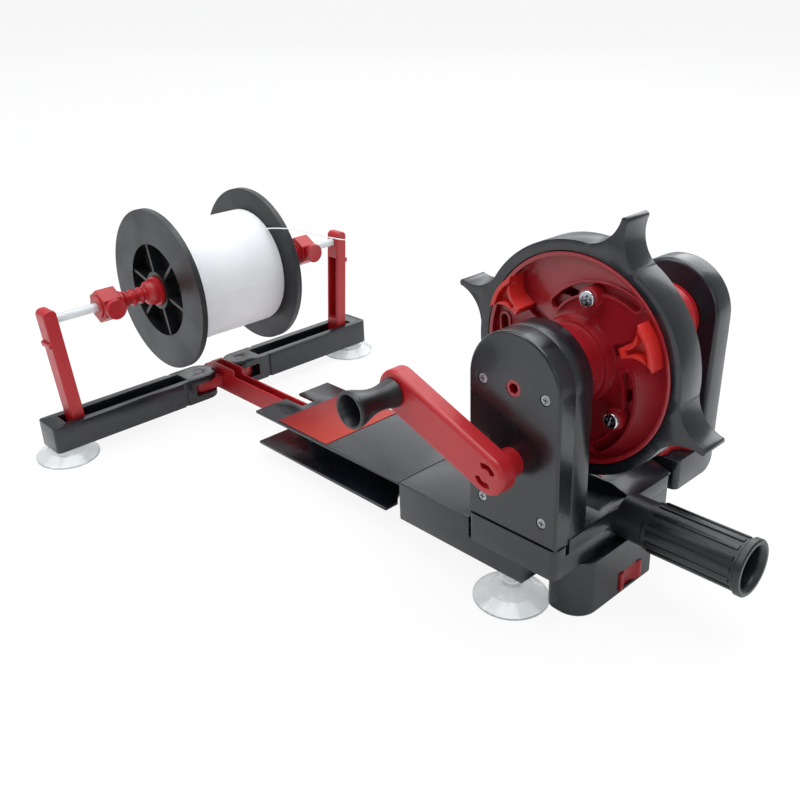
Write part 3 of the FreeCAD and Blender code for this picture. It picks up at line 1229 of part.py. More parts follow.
def line_tail():
    """The free end of the line: it leaves the winding, passes over the far flange's rim
    and ends beside the far upright."""
    route = [Vector(-281.2, 34.2, 129.05), Vector(-269.0, 34.0, 131.6),
             Vector(-259.6, 37.0, 132.2), Vector(-259.2, 46.0, 129.6),
             Vector(-272.5, 68.0, 120.2), Vector(-288.4, 91.0, 110.6),
             Vector(-297.6, 107.0, 103.6), Vector(-299.4, 122.0, 98.6)]
    edges, radii = [], []
    point = route[0]
    for before, corner, after in zip(route, route[1:], route[2:]):
        one, two = corner - before, after - corner
        turn = one.getAngle(two)
        radius = 0.45 * min(one.Length, two.Length) / math.tan(turn / 2)
        radii.append(radius)
        trim = radius * math.tan(turn / 2)
        enter = corner - Vector(one).normalize() * trim
        leave = corner + Vector(two).normalize() * trim
        edges.append(Part.LineSegment(point, enter).toShape())
        edges.append(arc_from(enter, Vector(one).normalize(), leave).toShape())
        point = leave
    edges.append(Part.LineSegment(point, route[-1]).toShape())
    path = Part.Wire(edges)
    start_way = (route[1] - route[0]).normalize()
    section = Part.Wire(Part.Circle(route[0], start_way, float(s.line_size) / 2).toShape())
    tube = Part.BRepOffsetAPI.MakePipeShell(path)
    tube.add(section)
    tube.build()
    tube.makeSolid()
    solid = tube.shape()
    node("line_tail", feature(solid, "Tail"))
    expected = math.pi * float(s.line_size) ** 2 / 4 * path.Length
    print("line tail length", round(path.Length, 1), "radii", [round(radius, 1) for radius in radii],
          "volume ratio", round(solid.Volume / expected, 4))


base_tub()
head_frame()
gearbox_cover()
gearbox_screws()
gears_and_axles()
crank()
knob()
chuck_cup()
for letter, turn in zip("abc", (0, 120, 240)):
    jaw("jaw_" + letter, s.jaw_turn + turn)
grip_ring()
tailstock()
lock_lever()
grip()
foot_leg()
suction_cup("near_cup", s.near_cup_x, s.near_cup_y, s.box_low)
suction_cup("left_cup", s.stand_x, -s.stand_cup_y, s.bar_low)
suction_cup("right_cup", s.stand_x, s.stand_cup_y, s.bar_low)
channel()
rail()
bar("left_bar", -1)
bar("right_bar", 1)
upright("left_upright", -1)
upright("right_upright", 1)
upright_pins()
rod_and_cones()
spool()
winding()
line_tail()

# The stance: level machine to floor, with the origin under the middle of the foot

rest_x = (s.leg_left + s.leg_right) / 2
rest = Vector(float(rest_x), float((s.leg_near + s.leg_far) / 2), float(floor_at(rest_x)))
lift = Rotation(Y, -floor_slope)
stance = Placement(lift.multVec(rest) * -1, lift)
for name, item in nodes.items():
    item.Placement = stance.multiply(item.Placement)
doc.recompute()

for item in doc.Objects:
    if "Invalid" in item.State or "Error" in item.State:
        raise RuntimeError(f"{item.Name} {item.Label} failed: {item.State}")
os.makedirs("parts", exist_ok=True)
for name, item in nodes.items():
    shape = item.Shape
    if shape.isNull() or not shape.isValid() or not shape.Solids:
        raise RuntimeError(f"{name} has no sound solid")
    print(name, len(shape.Solids), round(shape.Volume))
for name, item in nodes.items():
    item.Shape.exportStep(f"parts/{name}.step")
print("nodes", len(nodes), "stance", stance)
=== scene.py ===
# Looks of the fishing line winder. Lengths named _MM are millimetres of the machine's
# own level frame: X from the stand to the hand grip, Y away from the crank, Z up, with
# the chuck's axis at X = 0. STANCE sets them at the slight tilt of the real machine.
import json
import math

import bmesh
import bpy
from mathutils import Matrix, Vector


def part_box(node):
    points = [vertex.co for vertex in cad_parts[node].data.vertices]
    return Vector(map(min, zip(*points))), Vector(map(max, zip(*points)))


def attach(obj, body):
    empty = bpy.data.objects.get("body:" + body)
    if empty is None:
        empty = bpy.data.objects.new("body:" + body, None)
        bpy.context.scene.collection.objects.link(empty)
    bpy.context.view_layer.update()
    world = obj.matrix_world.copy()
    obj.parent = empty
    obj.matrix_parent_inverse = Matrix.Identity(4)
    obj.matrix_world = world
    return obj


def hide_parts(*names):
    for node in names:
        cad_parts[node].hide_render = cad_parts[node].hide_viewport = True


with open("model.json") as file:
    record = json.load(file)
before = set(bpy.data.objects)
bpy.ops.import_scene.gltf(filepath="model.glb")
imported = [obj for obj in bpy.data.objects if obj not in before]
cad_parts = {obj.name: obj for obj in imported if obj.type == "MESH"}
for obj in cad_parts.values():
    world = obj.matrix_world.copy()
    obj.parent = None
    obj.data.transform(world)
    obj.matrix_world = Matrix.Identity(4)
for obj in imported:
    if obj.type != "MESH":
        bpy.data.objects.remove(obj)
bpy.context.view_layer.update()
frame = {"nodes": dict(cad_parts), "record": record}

MM = 0.001

# The stance: the head stands higher than the stand
STANCE_RISE = 0.0489
FLOOR_DROP_MM = -12.2
FOOT_MM = (20.7, 22.0)
foot_floor = FLOOR_DROP_MM - STANCE_RISE * FOOT_MM[0]
TILT = Matrix.Rotation(-math.atan(STANCE_RISE), 4, "Y")
STANCE = TILT @ Matrix.Translation(Vector((-FOOT_MM[0], -FOOT_MM[1], -foot_floor)) * MM)

# Places of the axles
HUB_MM = 114.5
STAND_X_MM, ROD_MM = -308.0, 97.0
KNOB_X_MM, KNOB_MM = -62.0, 100.0
GRIP_Y_MM, GRIP_MM = 30.0, 30.0
POST_PIN_Y_MM, POST_PIN_MM = 114.0, 22.6
ALONG_X, ALONG_Y, ALONG_Z = Vector((1, 0, 0)), Vector((0, 1, 0)), Vector((0, 0, 1))

# Clearance hole for the stand's rod in what sits on it
ROD_HOLE_MM = 3.05


# Materials

def linear(hex_colour):
    """An sRGB hex colour as linear numbers."""
    parts = [int(hex_colour[n:n + 2], 16) / 255 for n in (1, 3, 5)]
    return tuple(p / 12.92 if p < 0.04045 else ((p + 0.055) / 1.055) ** 2.4
                 for p in parts) + (1.0,)


def add(tree, kind, links=(), **settings):
    """Adds a node, with its settings and what is linked into its sockets."""
    new = tree.nodes.new("ShaderNode" + kind)
    for name, value in settings.items():
        if hasattr(new, name):
            setattr(new, name, value)
        else:
            new.inputs[name.replace("_", " ")].default_value = value
    for socket, source in dict(links).items():
        tree.links.new(source, new.inputs[socket])
    return new


def start_material(name, **surface):
    """A material with one shader and the object's own coordinates."""
    made = bpy.data.materials.new(name)
    made.use_nodes = True
    tree = made.node_tree
    tree.nodes.clear()
    shader = add(tree, "BsdfPrincipled", **surface)
    add(tree, "OutputMaterial", {"Surface": shader.outputs["BSDF"]})
    place = add(tree, "TexCoord")
    return made, tree, shader, place.outputs["Object"]


def mottle(tree, place, patch_mm, low, high, detail=3.0):
    """A cloudy pattern between two colours or greys, with patches of a real size."""
    noise = add(tree, "TexNoise", {"Vector": place}, Scale=1 / (patch_mm * MM),
                Detail=detail)
    ramp = add(tree, "ValToRGB", {"Fac": noise.outputs["Fac"]})
    ramp.color_ramp.elements[0].position = 0.35
    ramp.color_ramp.elements[0].color = low
    ramp.color_ramp.elements[1].position = 0.68
    ramp.color_ramp.elements[1].color = high
    return ramp.outputs["Color"]


def grey(value):
    return (value, value, value, 1.0)


def link_grain(tree, shader, place, size_mm, strength, depth_mm=0.02):
    """A fine moulded grain as a bump."""
    grain = add(tree, "TexNoise", {"Vector": place}, Scale=1 / (size_mm * MM), Detail=2.0)
    bump = add(tree, "Bump", {"Height": grain.outputs["Fac"]}, Strength=strength,
               Distance=depth_mm * MM)
    tree.links.new(bump.outputs["Normal"], shader.inputs["Normal"])


def moulded_plastic(name, body, worn, rough, grain_mm=0.35, grain=0.25, coat=0.0):
    """Injection-moulded plastic: an even colour that drifts a little, a satin gloss that
    breaks up where it was handled, and the faint pebble of the tool."""
    made, tree, shader, place = start_material(name, IOR=1.53)
    shader.inputs["Coat Weight"].default_value = coat
    shader.inputs["Coat Roughness"].default_value = 0.12
    colour = mottle(tree, place, 71.4, linear(body), linear(worn))
    tree.links.new(colour, shader.inputs["Base Color"])
    gloss = mottle(tree, place, 18.2, grey(rough), grey(rough + 0.12), 5.0)
    tree.links.new(gloss, shader.inputs["Roughness"])
    link_grain(tree, shader, place, grain_mm, grain)
    return made


# ABS casings: near black with a cool cast, a satin sheen that shows the soft lights
charcoal = moulded_plastic("charcoal_abs", "#0f1116", "#161920", 0.22, 0.45, 0.16, 0.15)
# ABS in the grip: the same colour, duller where hands hold it
grip_black = moulded_plastic("grip_abs", "#0d0f12", "#14161a", 0.32, 0.35, 0.2)
# Polystyrene of the bulk spool: black with a soft waxy sheen
spool_black = moulded_plastic("spool_styrene", "#0f1012", "#151618", 0.36, 0.6, 0.2)
# Red ABS of the levers and the stand: full red, half gloss
red = moulded_plastic("red_abs", "#a9121a", "#b3181f", 0.34, 0.4, 0.16)
# Acetal of the jaws: a lighter, warmer red
jaw_red = moulded_plastic("jaw_acetal", "#c4211d", "#d02a24", 0.33, 0.3, 0.15)
# Dark red polycarbonate of the cup: deep colour under a clear gloss
cup_red = moulded_plastic("cup_polycarbonate", "#8a0f19", "#9c1520", 0.26, 0.6, 0.08, 0.2)
# Acetal of the gears: creamy white
gear_white = moulded_plastic("gear_acetal", "#d8d4c8", "#e4e1d6", 0.4)


def clear_vinyl():
    """Soft clear PVC: water clear, with bright edges and a slightly milky body."""
    made, tree, shader, place = start_material("clear_vinyl", Roughness=0.12, IOR=1.5)
    milk = mottle(tree, place, 16.7, linear("#d3d9dc"), linear("#eff2f3"))
    tree.links.new(milk, shader.inputs["Base Color"])
    shader.inputs["Transmission Weight"].default_value = 0.85
    shader.inputs["Alpha"].default_value = 0.75
    link_grain(tree, shader, place, 3.0, 0.15, 0.1)
    return made


def bright_screw():
    """Chrome plate: mirror bright, broken by fine turning marks."""
    made, tree, shader, place = start_material("screw_chrome", Metallic=1.0)
    tint = mottle(tree, place, 2.5, linear("#b9bcc2"), linear("#e1e3e6"))
    tree.links.new(tint, shader.inputs["Base Color"])
    gloss = mottle(tree, place, 1.11, grey(0.12), grey(0.28))
    tree.links.new(gloss, shader.inputs["Roughness"])
    return made


def turned_metal(name, low, high, rough):
    """Turned and oiled steel, or steel with a black oxide skin."""
    made, tree, shader, place = start_material(name, Metallic=1.0)
    tint = mottle(tree, place, 5.0, linear(low), linear(high))
    tree.links.new(tint, shader.inputs["Base Color"])
    gloss = mottle(tree, place, 1.43, grey(rough), grey(rough + 0.15))
    tree.links.new(gloss, shader.inputs["Roughness"])
    return made


def nylon_line():
    """Milky nylon monofilament: white from the many turns below, glossy on each turn."""
    made, tree, shader, place = start_material("nylon_line", IOR=1.53)
    colour = mottle(tree, place, 22.2, linear("#f6f6f7"), linear("#fdfdfd"))
    tree.links.new(colour, shader.inputs["Base Color"])
    shader.inputs["Roughness"].default_value = 0.32
    shader.inputs["Subsurface Weight"].default_value = 0.15
    shader.inputs["Subsurface Radius"].default_value = (0.001, 0.001, 0.001)
    link_grain(tree, shader, place, 0.5, 0.1)
    return made


def rod_plastic():
    """Translucent polypropylene rod: milky white, brighter at its edges."""
    made, tree, shader, place = start_material("rod_polypropylene", IOR=1.49)
    colour = mottle(tree, place, 33.3, linear("#dfe4e6"), linear("#f3f6f6"))
    tree.links.new(colour, shader.inputs["Base Color"])
    shader.inputs["Roughness"].default_value = 0.25
    shader.inputs["Transmission Weight"].default_value = 0.35
    link_grain(tree, shader, place, 1.0, 0.08)
    return made


def label_film():
    """Vinyl film: a red field that lightens towards the head, with a soft gloss."""
    made, tree, shader, place = start_material("label_vinyl", Roughness=0.42, IOR=1.5)
    shader.inputs["Specular IOR Level"].default_value = 0.3
    split = add(tree, "SeparateXYZ", {"Vector": place})
    across = add(tree, "MapRange", {"Value": split.outputs["X"]})
    low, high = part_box("label_plate")
    across.inputs["From Min"].default_value = low.x
    across.inputs["From Max"].default_value = high.x
    ramp = add(tree, "ValToRGB", {"Fac": across.outputs["Result"]})
    ramp.color_ramp.elements[0].color = linear("#7d0b0c")
    ramp.color_ramp.elements[1].color = linear("#a82a17")
    fleck = mottle(tree, place, 8.33, grey(0.92), grey(1.0))
    mixed = add(tree, "Mix", data_type="RGBA", blend_type="MULTIPLY")
    mixed.inputs[0].default_value = 1.0
    tree.links.new(ramp.outputs["Color"], mixed.inputs[6])
    tree.links.new(fleck, mixed.inputs[7])
    tree.links.new(mixed.outputs[2], shader.inputs["Base Color"])
    link_grain(tree, shader, place, 0.8, 0.06)
    return made


vinyl = clear_vinyl()
chrome = bright_screw()
steel = turned_metal("oiled_steel", "#7d7f83", "#a5a7ab", 0.3)
black_screw = turned_metal("black_oxide", "#3a3c40", "#5c5e63", 0.22)
line_white = nylon_line()
rod_white = rod_plastic()
film = label_film()

FINISH = {
    "charcoal_plastic": charcoal, "red_plastic": red, "dark_red_plastic": cup_red,
    "clear_rubber": vinyl, "chrome_screw": chrome, "dark_screw": black_screw,
    "steel": steel, "gear_plastic": gear_white, "white_line": line_white,
    "rod_plastic": rod_white, "label_film": film,
}
OWN_FINISH = {
    "fold_pins": charcoal, "spool": spool_black, "gearbox_screws": steel,
    "jaw_a": jaw_red, "jaw_b": jaw_red, "jaw_c": jaw_red,
}
slot_of = {part["node"]: part["material_slot"] for part in frame["record"]["subparts"]}


def finish_for(node):
    return OWN_FINISH.get(node, FINISH[slot_of[node]])


for name, item in frame["nodes"].items():
    item.data.materials.clear()
    item.data.materials.append(finish_for(name))


# Pieces

def body_of(node):
    """The moving body that a CAD node belongs to."""
    for body, members in frame["record"]["behaviour"]["bodies"].items():
        if node in members:
            return body
    raise KeyError(node)


def shade(mesh, degrees=32.0):
    """Smooth shading that stays crisp at edges sharper than an angle."""
    for face in mesh.polygons:
        face.use_smooth = True
    mesh.set_sharp_from_angle(angle=math.radians(degrees))


def piece(name, shape, finish, body, replaced=(), tilt=True, degrees=32.0):
    """Turns a finished bmesh in metres into an object that rides on a body."""
    mesh = bpy.data.meshes.new(name)
    if tilt:
        shape.transform(STANCE)
    shape.to_mesh(mesh)
    shape.free()
    shade(mesh, degrees)
    mesh.materials.append(finish)
    made = bpy.data.objects.new(name, mesh)
    bpy.context.scene.collection.objects.link(made)
    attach(made, body)
    if replaced:
        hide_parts(*replaced)
    return made


def softened(node, width_mm, segments=2, angle=35.0):
    """A copy of a CAD node with its edges broken, as a mould leaves them."""
    shape = bmesh.new()
    shape.from_mesh(frame["nodes"][node].data)
    bmesh.ops.remove_doubles(shape, verts=shape.verts, dist=0.002 * MM)
    bmesh.ops.dissolve_limit(shape, angle_limit=math.radians(1.0), verts=shape.verts,
                             edges=shape.edges, delimit={"NORMAL"})
    sharp = [edge for edge in shape.edges if len(edge.link_faces) == 2
             and edge.calc_face_angle(0.0) > math.radians(angle)]
    bmesh.ops.bevel(shape, geom=sharp, offset=width_mm * MM, offset_type="OFFSET",
                    segments=segments, affect="EDGES", profile=0.5, material=-1,
                    clamp_overlap=True)
    bmesh.ops.triangulate(shape, faces=[face for face in shape.faces if len(face.verts) > 4])
    return piece(node + "_skin", shape, finish_for(node), body_of(node),
                 (node,), tilt=False)


SOFT_EDGES_MM = {
    "base_tub": 0.5, "head_frame": 0.5, "channel_box": 0.5,
    "channel_top_plate": 0.4, "channel_bottom_plate": 0.4, "channel_guide": 0.15,
    "left_bar": 0.5, "right_bar": 0.5, "slide_rail": 0.25, "chuck_cup": 0.3,
    "grip_ring": 0.5, "tail_foot": 0.5, "tail_tongue": 0.4, "lock_lever": 0.5,
    "foot_catch": 0.3,
    "jaw_a": 0.45, "jaw_b": 0.45, "jaw_c": 0.45, "label_plate": 0.1,
}
for name, width in SOFT_EDGES_MM.items():
    softened(name, width)


def soft_edges(made, width_mm, degrees):
    """Breaks the edges of a new piece that are sharper than an angle."""
    soft = made.modifiers.new("soft_edges", "BEVEL")
    soft.width = width_mm * MM
    soft.segments = 2
    soft.limit_method = "ANGLE"
    soft.angle_limit = math.radians(degrees)
    return made


def split(shape, place_mm, way, clear_inner=False):
    """Cuts the faces along a plane, and may take away what lies behind it."""
    everything = shape.verts[:] + shape.edges[:] + shape.faces[:]
    return bmesh.ops.bisect_plane(shape, geom=everything, dist=0.00001 * MM,
                                  plane_co=Vector(place_mm) * MM, plane_no=way,
                                  clear_inner=clear_inner)["geom_cut"]


def push(shape, faces, way_mm):
    """Moves faces by a distance, with walls behind them."""
    pushed = bmesh.ops.extrude_discrete_faces(shape, faces=faces)["faces"]
    corners = list({corner for face in pushed for corner in face.verts})
    bmesh.ops.translate(shape, verts=corners, vec=Vector(way_mm) * MM)


def block(shape, low, high):
    """Adds a box between two corners, in millimetres; gives its new points."""
    new = bmesh.ops.create_cube(shape, size=1.0)["verts"]
    span = [high[n] - low[n] for n in range(3)]
    middle = [(high[n] + low[n]) / 2 for n in range(3)]
    bmesh.ops.scale(shape, verts=new, vec=Vector(span) * MM)
    bmesh.ops.translate(shape, verts=new, vec=Vector(middle) * MM)
    return new


def round_off(shape, width_mm, wanted, segments=5):
    """Rounds the edges that wanted() picks by their middle and direction."""
    picked = []
    for edge in shape.edges:
        first, second = (corner.co / MM for corner in edge.verts)
        if wanted((first + second) / 2, (second - first).normalized()):
            picked.append(edge)
    bmesh.ops.bevel(shape, geom=picked, offset=width_mm * MM, offset_type="OFFSET",
                    segments=segments, affect="EDGES", profile=0.5, material=-1)


def lathe(axis, centre_mm, profile_mm, steps=64):
    """A turned shape: pairs of a place along the axis and a radius, closed at both ends."""
    shape = bmesh.new()
    points = [shape.verts.new((Vector(centre_mm) + axis * along + Vector((0, 0, radius))) * MM)
              for along, radius in profile_mm]
    for first, second in zip(points, points[1:]):
        shape.edges.new((first, second))
    bmesh.ops.spin(shape, geom=shape.verts[:] + shape.edges[:], cent=Vector(centre_mm) * MM,
                   axis=axis, dvec=Vector(), angle=2 * math.pi, steps=steps, use_merge=True,
                   use_normal_flip=False, use_duplicate=False)
    bmesh.ops.remove_doubles(shape, verts=shape.verts, dist=0.0001 * MM)
    bmesh.ops.recalc_face_normals(shape, faces=shape.faces)
    return shape


def hand_grip():
    """The grip: a base on the tub, a body with long raised lands, and a thin rim."""
    centre = (0.0, GRIP_Y_MM, GRIP_MM)
    land_mm, land_ends_mm, land_radii_mm = 3.2, (47.5, 93.6), (12.6, 14.0)
    profile = [(28.75, 0.0), (28.75, 12.3), (44.0, 12.3), (45.0, 13.1), (95.2, 13.3),
               (95.5, 14.7), (95.9, 15.0), (98.7, 15.0), (99.4, 14.3), (99.4, 12.6),
               (98.9, 12.2), (97.6, 11.0), (96.0, 10.6), (54.0, 10.6), (54.0, 0.0)]
    shape = lathe(ALONG_X, centre, profile)
    lands = 14
    for number in range(lands):
        land = block(shape, (land_ends_mm[0], GRIP_Y_MM - land_mm / 2, GRIP_MM + land_radii_mm[0]),
                     (land_ends_mm[1], GRIP_Y_MM + land_mm / 2, GRIP_MM + land_radii_mm[1]))
        edges = {edge for corner in land for edge in corner.link_edges}
        bevelled = bmesh.ops.bevel(shape, geom=list(edges), offset=0.55 * MM, segments=2,
                                   offset_type="OFFSET", affect="EDGES", profile=0.5,
                                   material=-1)
        around = Matrix.Rotation(2 * math.pi * number / lands, 3, "X")
        bmesh.ops.rotate(shape, verts=bevelled["verts"], cent=Vector(centre) * MM,
                         matrix=around)
    return piece("hand_grip", shape, grip_black, "root",
                 ("grip_neck", "grip_handle"))


hand_grip()


def foot():
    """The leg: full and round towards the crank, cut level with the floor, with a nest
    for the catch in its right side."""
    left, right, near, far, top = 9.0, 33.0, -14.0, 50.0, 18.65
    nest_near, nest_far, nest_low, nest_top, nest_deep = 20.2, 39.8, -12.1, -0.7, 9.5
    shape = bmesh.new()
    block(shape, (left, near, -25.0), (right, far, top))
    for y in (nest_near, nest_far):
        split(shape, (0, y, 0), ALONG_Y)
    for z in (nest_low, nest_top):
        split(shape, (0, 0, z), ALONG_Z)
    nest = [face for face in shape.faces if face.normal.x > 0.9
            and nest_near < face.calc_center_median().y / MM < nest_far
            and nest_low < face.calc_center_median().z / MM < nest_top]
    push(shape, nest, (-nest_deep, 0, 0))
    for side, radius_mm, segments in ((right, 13.0, 10), (left, 7.0, 6)):
        round_off(shape, radius_mm, lambda middle, way: abs(way.z) > 0.99
                  and abs(middle.x - side) < 0.1 and middle.y < near + 0.1, segments=segments)
    shape.transform(STANCE)
    cut = split(shape, (0, 0, 0), ALONG_Z, clear_inner=True)
    rim = [item for item in cut if isinstance(item, bmesh.types.BMEdge)]
    bmesh.ops.triangle_fill(shape, edges=rim, use_beauty=True, use_dissolve=True)
    bmesh.ops.recalc_face_normals(shape, faces=shape.faces)
    made = piece("foot_skin", shape, charcoal, "root", ("foot_leg",),
                 tilt=False)
    return soft_edges(made, 0.6, 40.0)


foot()


def upright(name, body, side):
    """Leaning post: a rounded top, an open channel on its inner side, a hooked back."""
    half, foot_drop, top, lean = 6.0, 4.4, 105.0, math.radians(4.5)
    half_thick, wall, channel_deep, channel_low, channel_top = 4.5, 1.8, 7.0, 33.0, 86.0
    hook_low, hook_top, hook_out = 80.5, 84.0, 6.1
    pin_y = side * POST_PIN_Y_MM
    shape = bmesh.new()
    block(shape, (STAND_X_MM - half, pin_y - half_thick, POST_PIN_MM - foot_drop),
          (STAND_X_MM + half, pin_y + half_thick, top))
    for z in (channel_low, channel_top):
        split(shape, (0, 0, z), ALONG_Z)
    open_side = [face for face in shape.faces if face.normal.y * side < -0.9
                 and channel_low < face.calc_center_median().z / MM < channel_top]
    bmesh.ops.inset_region(shape, faces=open_side, thickness=wall * MM, depth=0.0,
                           use_even_offset=True, use_boundary=True)
    push(shape, open_side, (0, side * channel_deep, 0))
    round_off(shape, 3.6, lambda middle, way: abs(way.x) > 0.99 and middle.z > top - 0.1)
    round_off(shape, 4.2, lambda middle, way: abs(way.x) > 0.99
              and middle.z < POST_PIN_MM - foot_drop + 0.1)
    near, far = sorted((pin_y + side * 3.5, pin_y + side * hook_out))
    block(shape, (STAND_X_MM - half, near, hook_low), (STAND_X_MM + half, far, hook_top))
    bmesh.ops.rotate(shape, verts=shape.verts, matrix=Matrix.Rotation(-side * lean, 3, "X"),
                     cent=Vector((STAND_X_MM, pin_y, POST_PIN_MM)) * MM)
    made = piece(name + "_skin", shape, red, body, (name,))
    return soft_edges(made, 0.6, 40.0)


upright("left_upright", "left_post", -1)
upright("right_upright", "right_post", 1)


def bulk_rod():
    """Drawn white rod, chamfered at its ends."""
    half, radius = 115.2, 3.0
    profile = [(-half, 0.0), (-half, radius - 0.5), (-half + 0.5, radius),
               (half - 0.5, radius), (half, radius - 0.5), (half, 0.0)]
    shape = lathe(ALONG_Y, (STAND_X_MM, 0.0, ROD_MM), profile, 32)
    return piece("bulk_rod", shape, rod_white, "axle", ("axle_rod",))


bulk_rod()


def ridged_cone(name, side, outer):
    """Cone that centres the spool: a dome, then slim ridges like a screw's."""
    tip, ridges_start, ridges = 36.0, 51.4, 3
    profile = [(tip, ROD_HOLE_MM), (tip, 7.0), (40.4, 10.1), (43.0, 10.1), (43.2, 8.6), (46.0, 8.6),
               (49.0, 8.0), (50.6, 6.2), (51.2, 4.4)]
    step = (outer - 2.1 - ridges_start) / ridges
    for number in range(ridges):
        here = ridges_start + step * number
        profile += [(here + step * 0.18, 4.2), (here + step * 0.42, 5.8),
                    (here + step * 0.62, 5.8), (here + step * 0.86, 4.2)]
    profile += [(outer - 2.0, 4.2), (outer - 1.8, 6.6), (outer, 6.6), (outer, ROD_HOLE_MM),
                (tip, ROD_HOLE_MM)]
    shape = lathe(ALONG_Y, (STAND_X_MM, 0.0, ROD_MM),
                  [(side * along, radius) for along, radius in profile], 40)
    return piece(name + "_skin", shape, red, "reel", (name,), degrees=42.0)


ridged_cone("left_cone", -1, 70.7)
ridged_cone("right_cone", 1, 76.7)


def hex_collar(name, low, high, screw_at):
    """Hexagonal collar with a turned face at each end, and its thumb screw."""
    corners_mm, face = 11.4, STAND_X_MM + 11.2
    centre = Vector((STAND_X_MM, (low + high) / 2, ROD_MM)) * MM
    shape = lathe(ALONG_Y, (STAND_X_MM, 0.0, ROD_MM),
                  [(low, ROD_HOLE_MM), (low, 7.4), (low + 0.6, 8.0), (high - 0.6, 8.0),
                   (high, 7.4), (high, ROD_HOLE_MM), (low, ROD_HOLE_MM)], 40)
    hexagon = bmesh.ops.create_cone(shape, cap_ends=True, segments=6, radius1=corners_mm * MM,
                                    radius2=corners_mm * MM,
                                    depth=(high - low - 2.4) * MM)["verts"]
    bmesh.ops.rotate(shape, verts=hexagon, cent=Vector(), matrix=Matrix.Rotation(
        math.radians(90), 3, "X"))
    bmesh.ops.translate(shape, verts=hexagon, vec=centre)
    made = piece(name + "_collar_skin", shape, red, "axle", (name + "_collar",))
    soft_edges(made, 0.7, 50.0)
    head = lathe(ALONG_X, (0.0, screw_at, ROD_MM),
                 [(face - 4.2, 0.0), (face - 4.2, 2.4), (face - 0.2, 2.4), (face, 6.3),
                  (face + 0.6, 6.9), (face + 3.2, 6.9), (face + 3.8, 6.3), (face + 3.5, 5.0),
                  (face + 3.3, 0.0)], 40)
    piece(name + "_thumb_screw_skin", head, red, "axle",
          (name + "_thumb_screw",))
    return made


hex_collar("left", -86.6, -71.0, -79.0)
hex_collar("right", 77.0, 92.0, 86.0)


def crank_grip():
    """Hourglass knob of the crank, open at its mouth over the head of its pin."""
    root, ledge, bore = -51.0, -68.4, 3.05
    profile = [(root, bore), (root, 7.4), (-51.5, 7.9), (-54.5, 7.3), (-58.0, 6.5), (-62.0, 6.2),
               (-66.0, 6.6), (-70.0, 7.6), (-74.0, 9.0), (-77.5, 9.9), (-79.2, 10.0),
               (-80.0, 9.5), (-80.0, 8.5), (-79.4, 8.0), (-74.0, 6.6), (-70.0, 5.6),
               (ledge, 5.3), (ledge, bore), (root, bore)]
    shape = lathe(ALONG_Y, (KNOB_X_MM, 0.0, KNOB_MM), profile, 56)
    return piece("crank_knob_skin", shape, grip_black, "knob",
                 ("crank_knob",), degrees=45.0)


crank_grip()


def ring_back():
    """The ring's back wall, closed over the heels of the jaws."""
    shape = lathe(ALONG_Y, (0.0, 0.0, HUB_MM),
                  [(31.0, 55.5), (31.0, 53.0), (33.6, 52.0), (33.6, 18.0), (34.8, 18.0),
                   (34.8, 52.6), (31.6, 55.5), (31.0, 55.5)], 96)
    return piece("ring_back", shape, cup_red, "ring")


ring_back()


def tail_arch():
    """The tailstock's pillar: a broad arch with a rounded rim."""
    low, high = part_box("tail_pillar")
    front, back = (corner.y / MM + FOOT_MM[1] for corner in (low, high))
    base_half, base_z, radius, centre_z, rim = 28.4, 42.0, 29.6, 117.4, 2.4
    outline = [(-base_half, base_z), (base_half, base_z)]
    outline += [(radius * math.cos(math.radians(angle)),
                 centre_z + radius * math.sin(math.radians(angle)))
                for angle in range(0, 181, 6)]
    shape = bmesh.new()
    face = shape.faces.new([shape.verts.new(Vector((x, front, z)) * MM) for x, z in outline])
    grown = bmesh.ops.extrude_face_region(shape, geom=[face])["geom"]
    moved = [item for item in grown if isinstance(item, bmesh.types.BMVert)]
    bmesh.ops.translate(shape, verts=moved, vec=ALONG_Y * (back - front) * MM)
    bmesh.ops.recalc_face_normals(shape, faces=shape.faces)
    round_off(shape, rim, lambda middle, way: abs(way.y) < 0.001 and middle.z > base_z + 0.1,
              segments=4)
    return piece("tail_arch", shape, charcoal, "tailstock",
                 ("tail_pillar",))


tail_arch()


def wound_line():
    """The outer layer of fine line: one turn, repeated side by side to the flanges."""
    line_mm, pitch_mm, inside_mm, radius_mm, steps = 0.42, 0.425, 36.7, 40.78, 48
    turns = int((2 * inside_mm - line_mm) / pitch_mm)
    shape = bmesh.new()
    start = Vector((STAND_X_MM + radius_mm, -inside_mm + line_mm / 2, ROD_MM)) * MM
    section = bmesh.ops.create_circle(shape, cap_ends=False, radius=line_mm / 2 * MM,
                                      segments=6)
    bmesh.ops.translate(shape, verts=section["verts"], vec=start)
    centre = Vector((STAND_X_MM, 0.0, ROD_MM)) * MM
    bmesh.ops.spin(shape, geom=shape.verts[:] + shape.edges[:], cent=centre,
                   axis=ALONG_Y, dvec=ALONG_Y * pitch_mm / steps * MM,
                   angle=2 * math.pi, steps=steps, use_merge=False, use_normal_flip=False,
                   use_duplicate=False)
    bmesh.ops.recalc_face_normals(shape, faces=shape.faces)
    made = piece("wound_line", shape, line_white, "reel", ("line_winding",),
                 degrees=80.0)
    rows = made.modifiers.new("turns", "ARRAY")
    rows.count = turns
    rows.use_relative_offset = False
    rows.use_constant_offset = True
    rows.constant_offset_displace = (0.0, pitch_mm * MM, 0.0)
    return made


wound_line()


def wound_core():
    """The layer of line below the outer one, plain and flush with the flanges."""
    half, inner, outer = 36.8, 39.0, 40.6
    shape = lathe(ALONG_Y, (STAND_X_MM, 0.0, ROD_MM),
                  [(-half, inner), (-half, outer), (half, outer), (half, inner),
                   (-half, inner)], 96)
    return piece("wound_core", shape, line_white, "reel", ("line_core",))


wound_core()


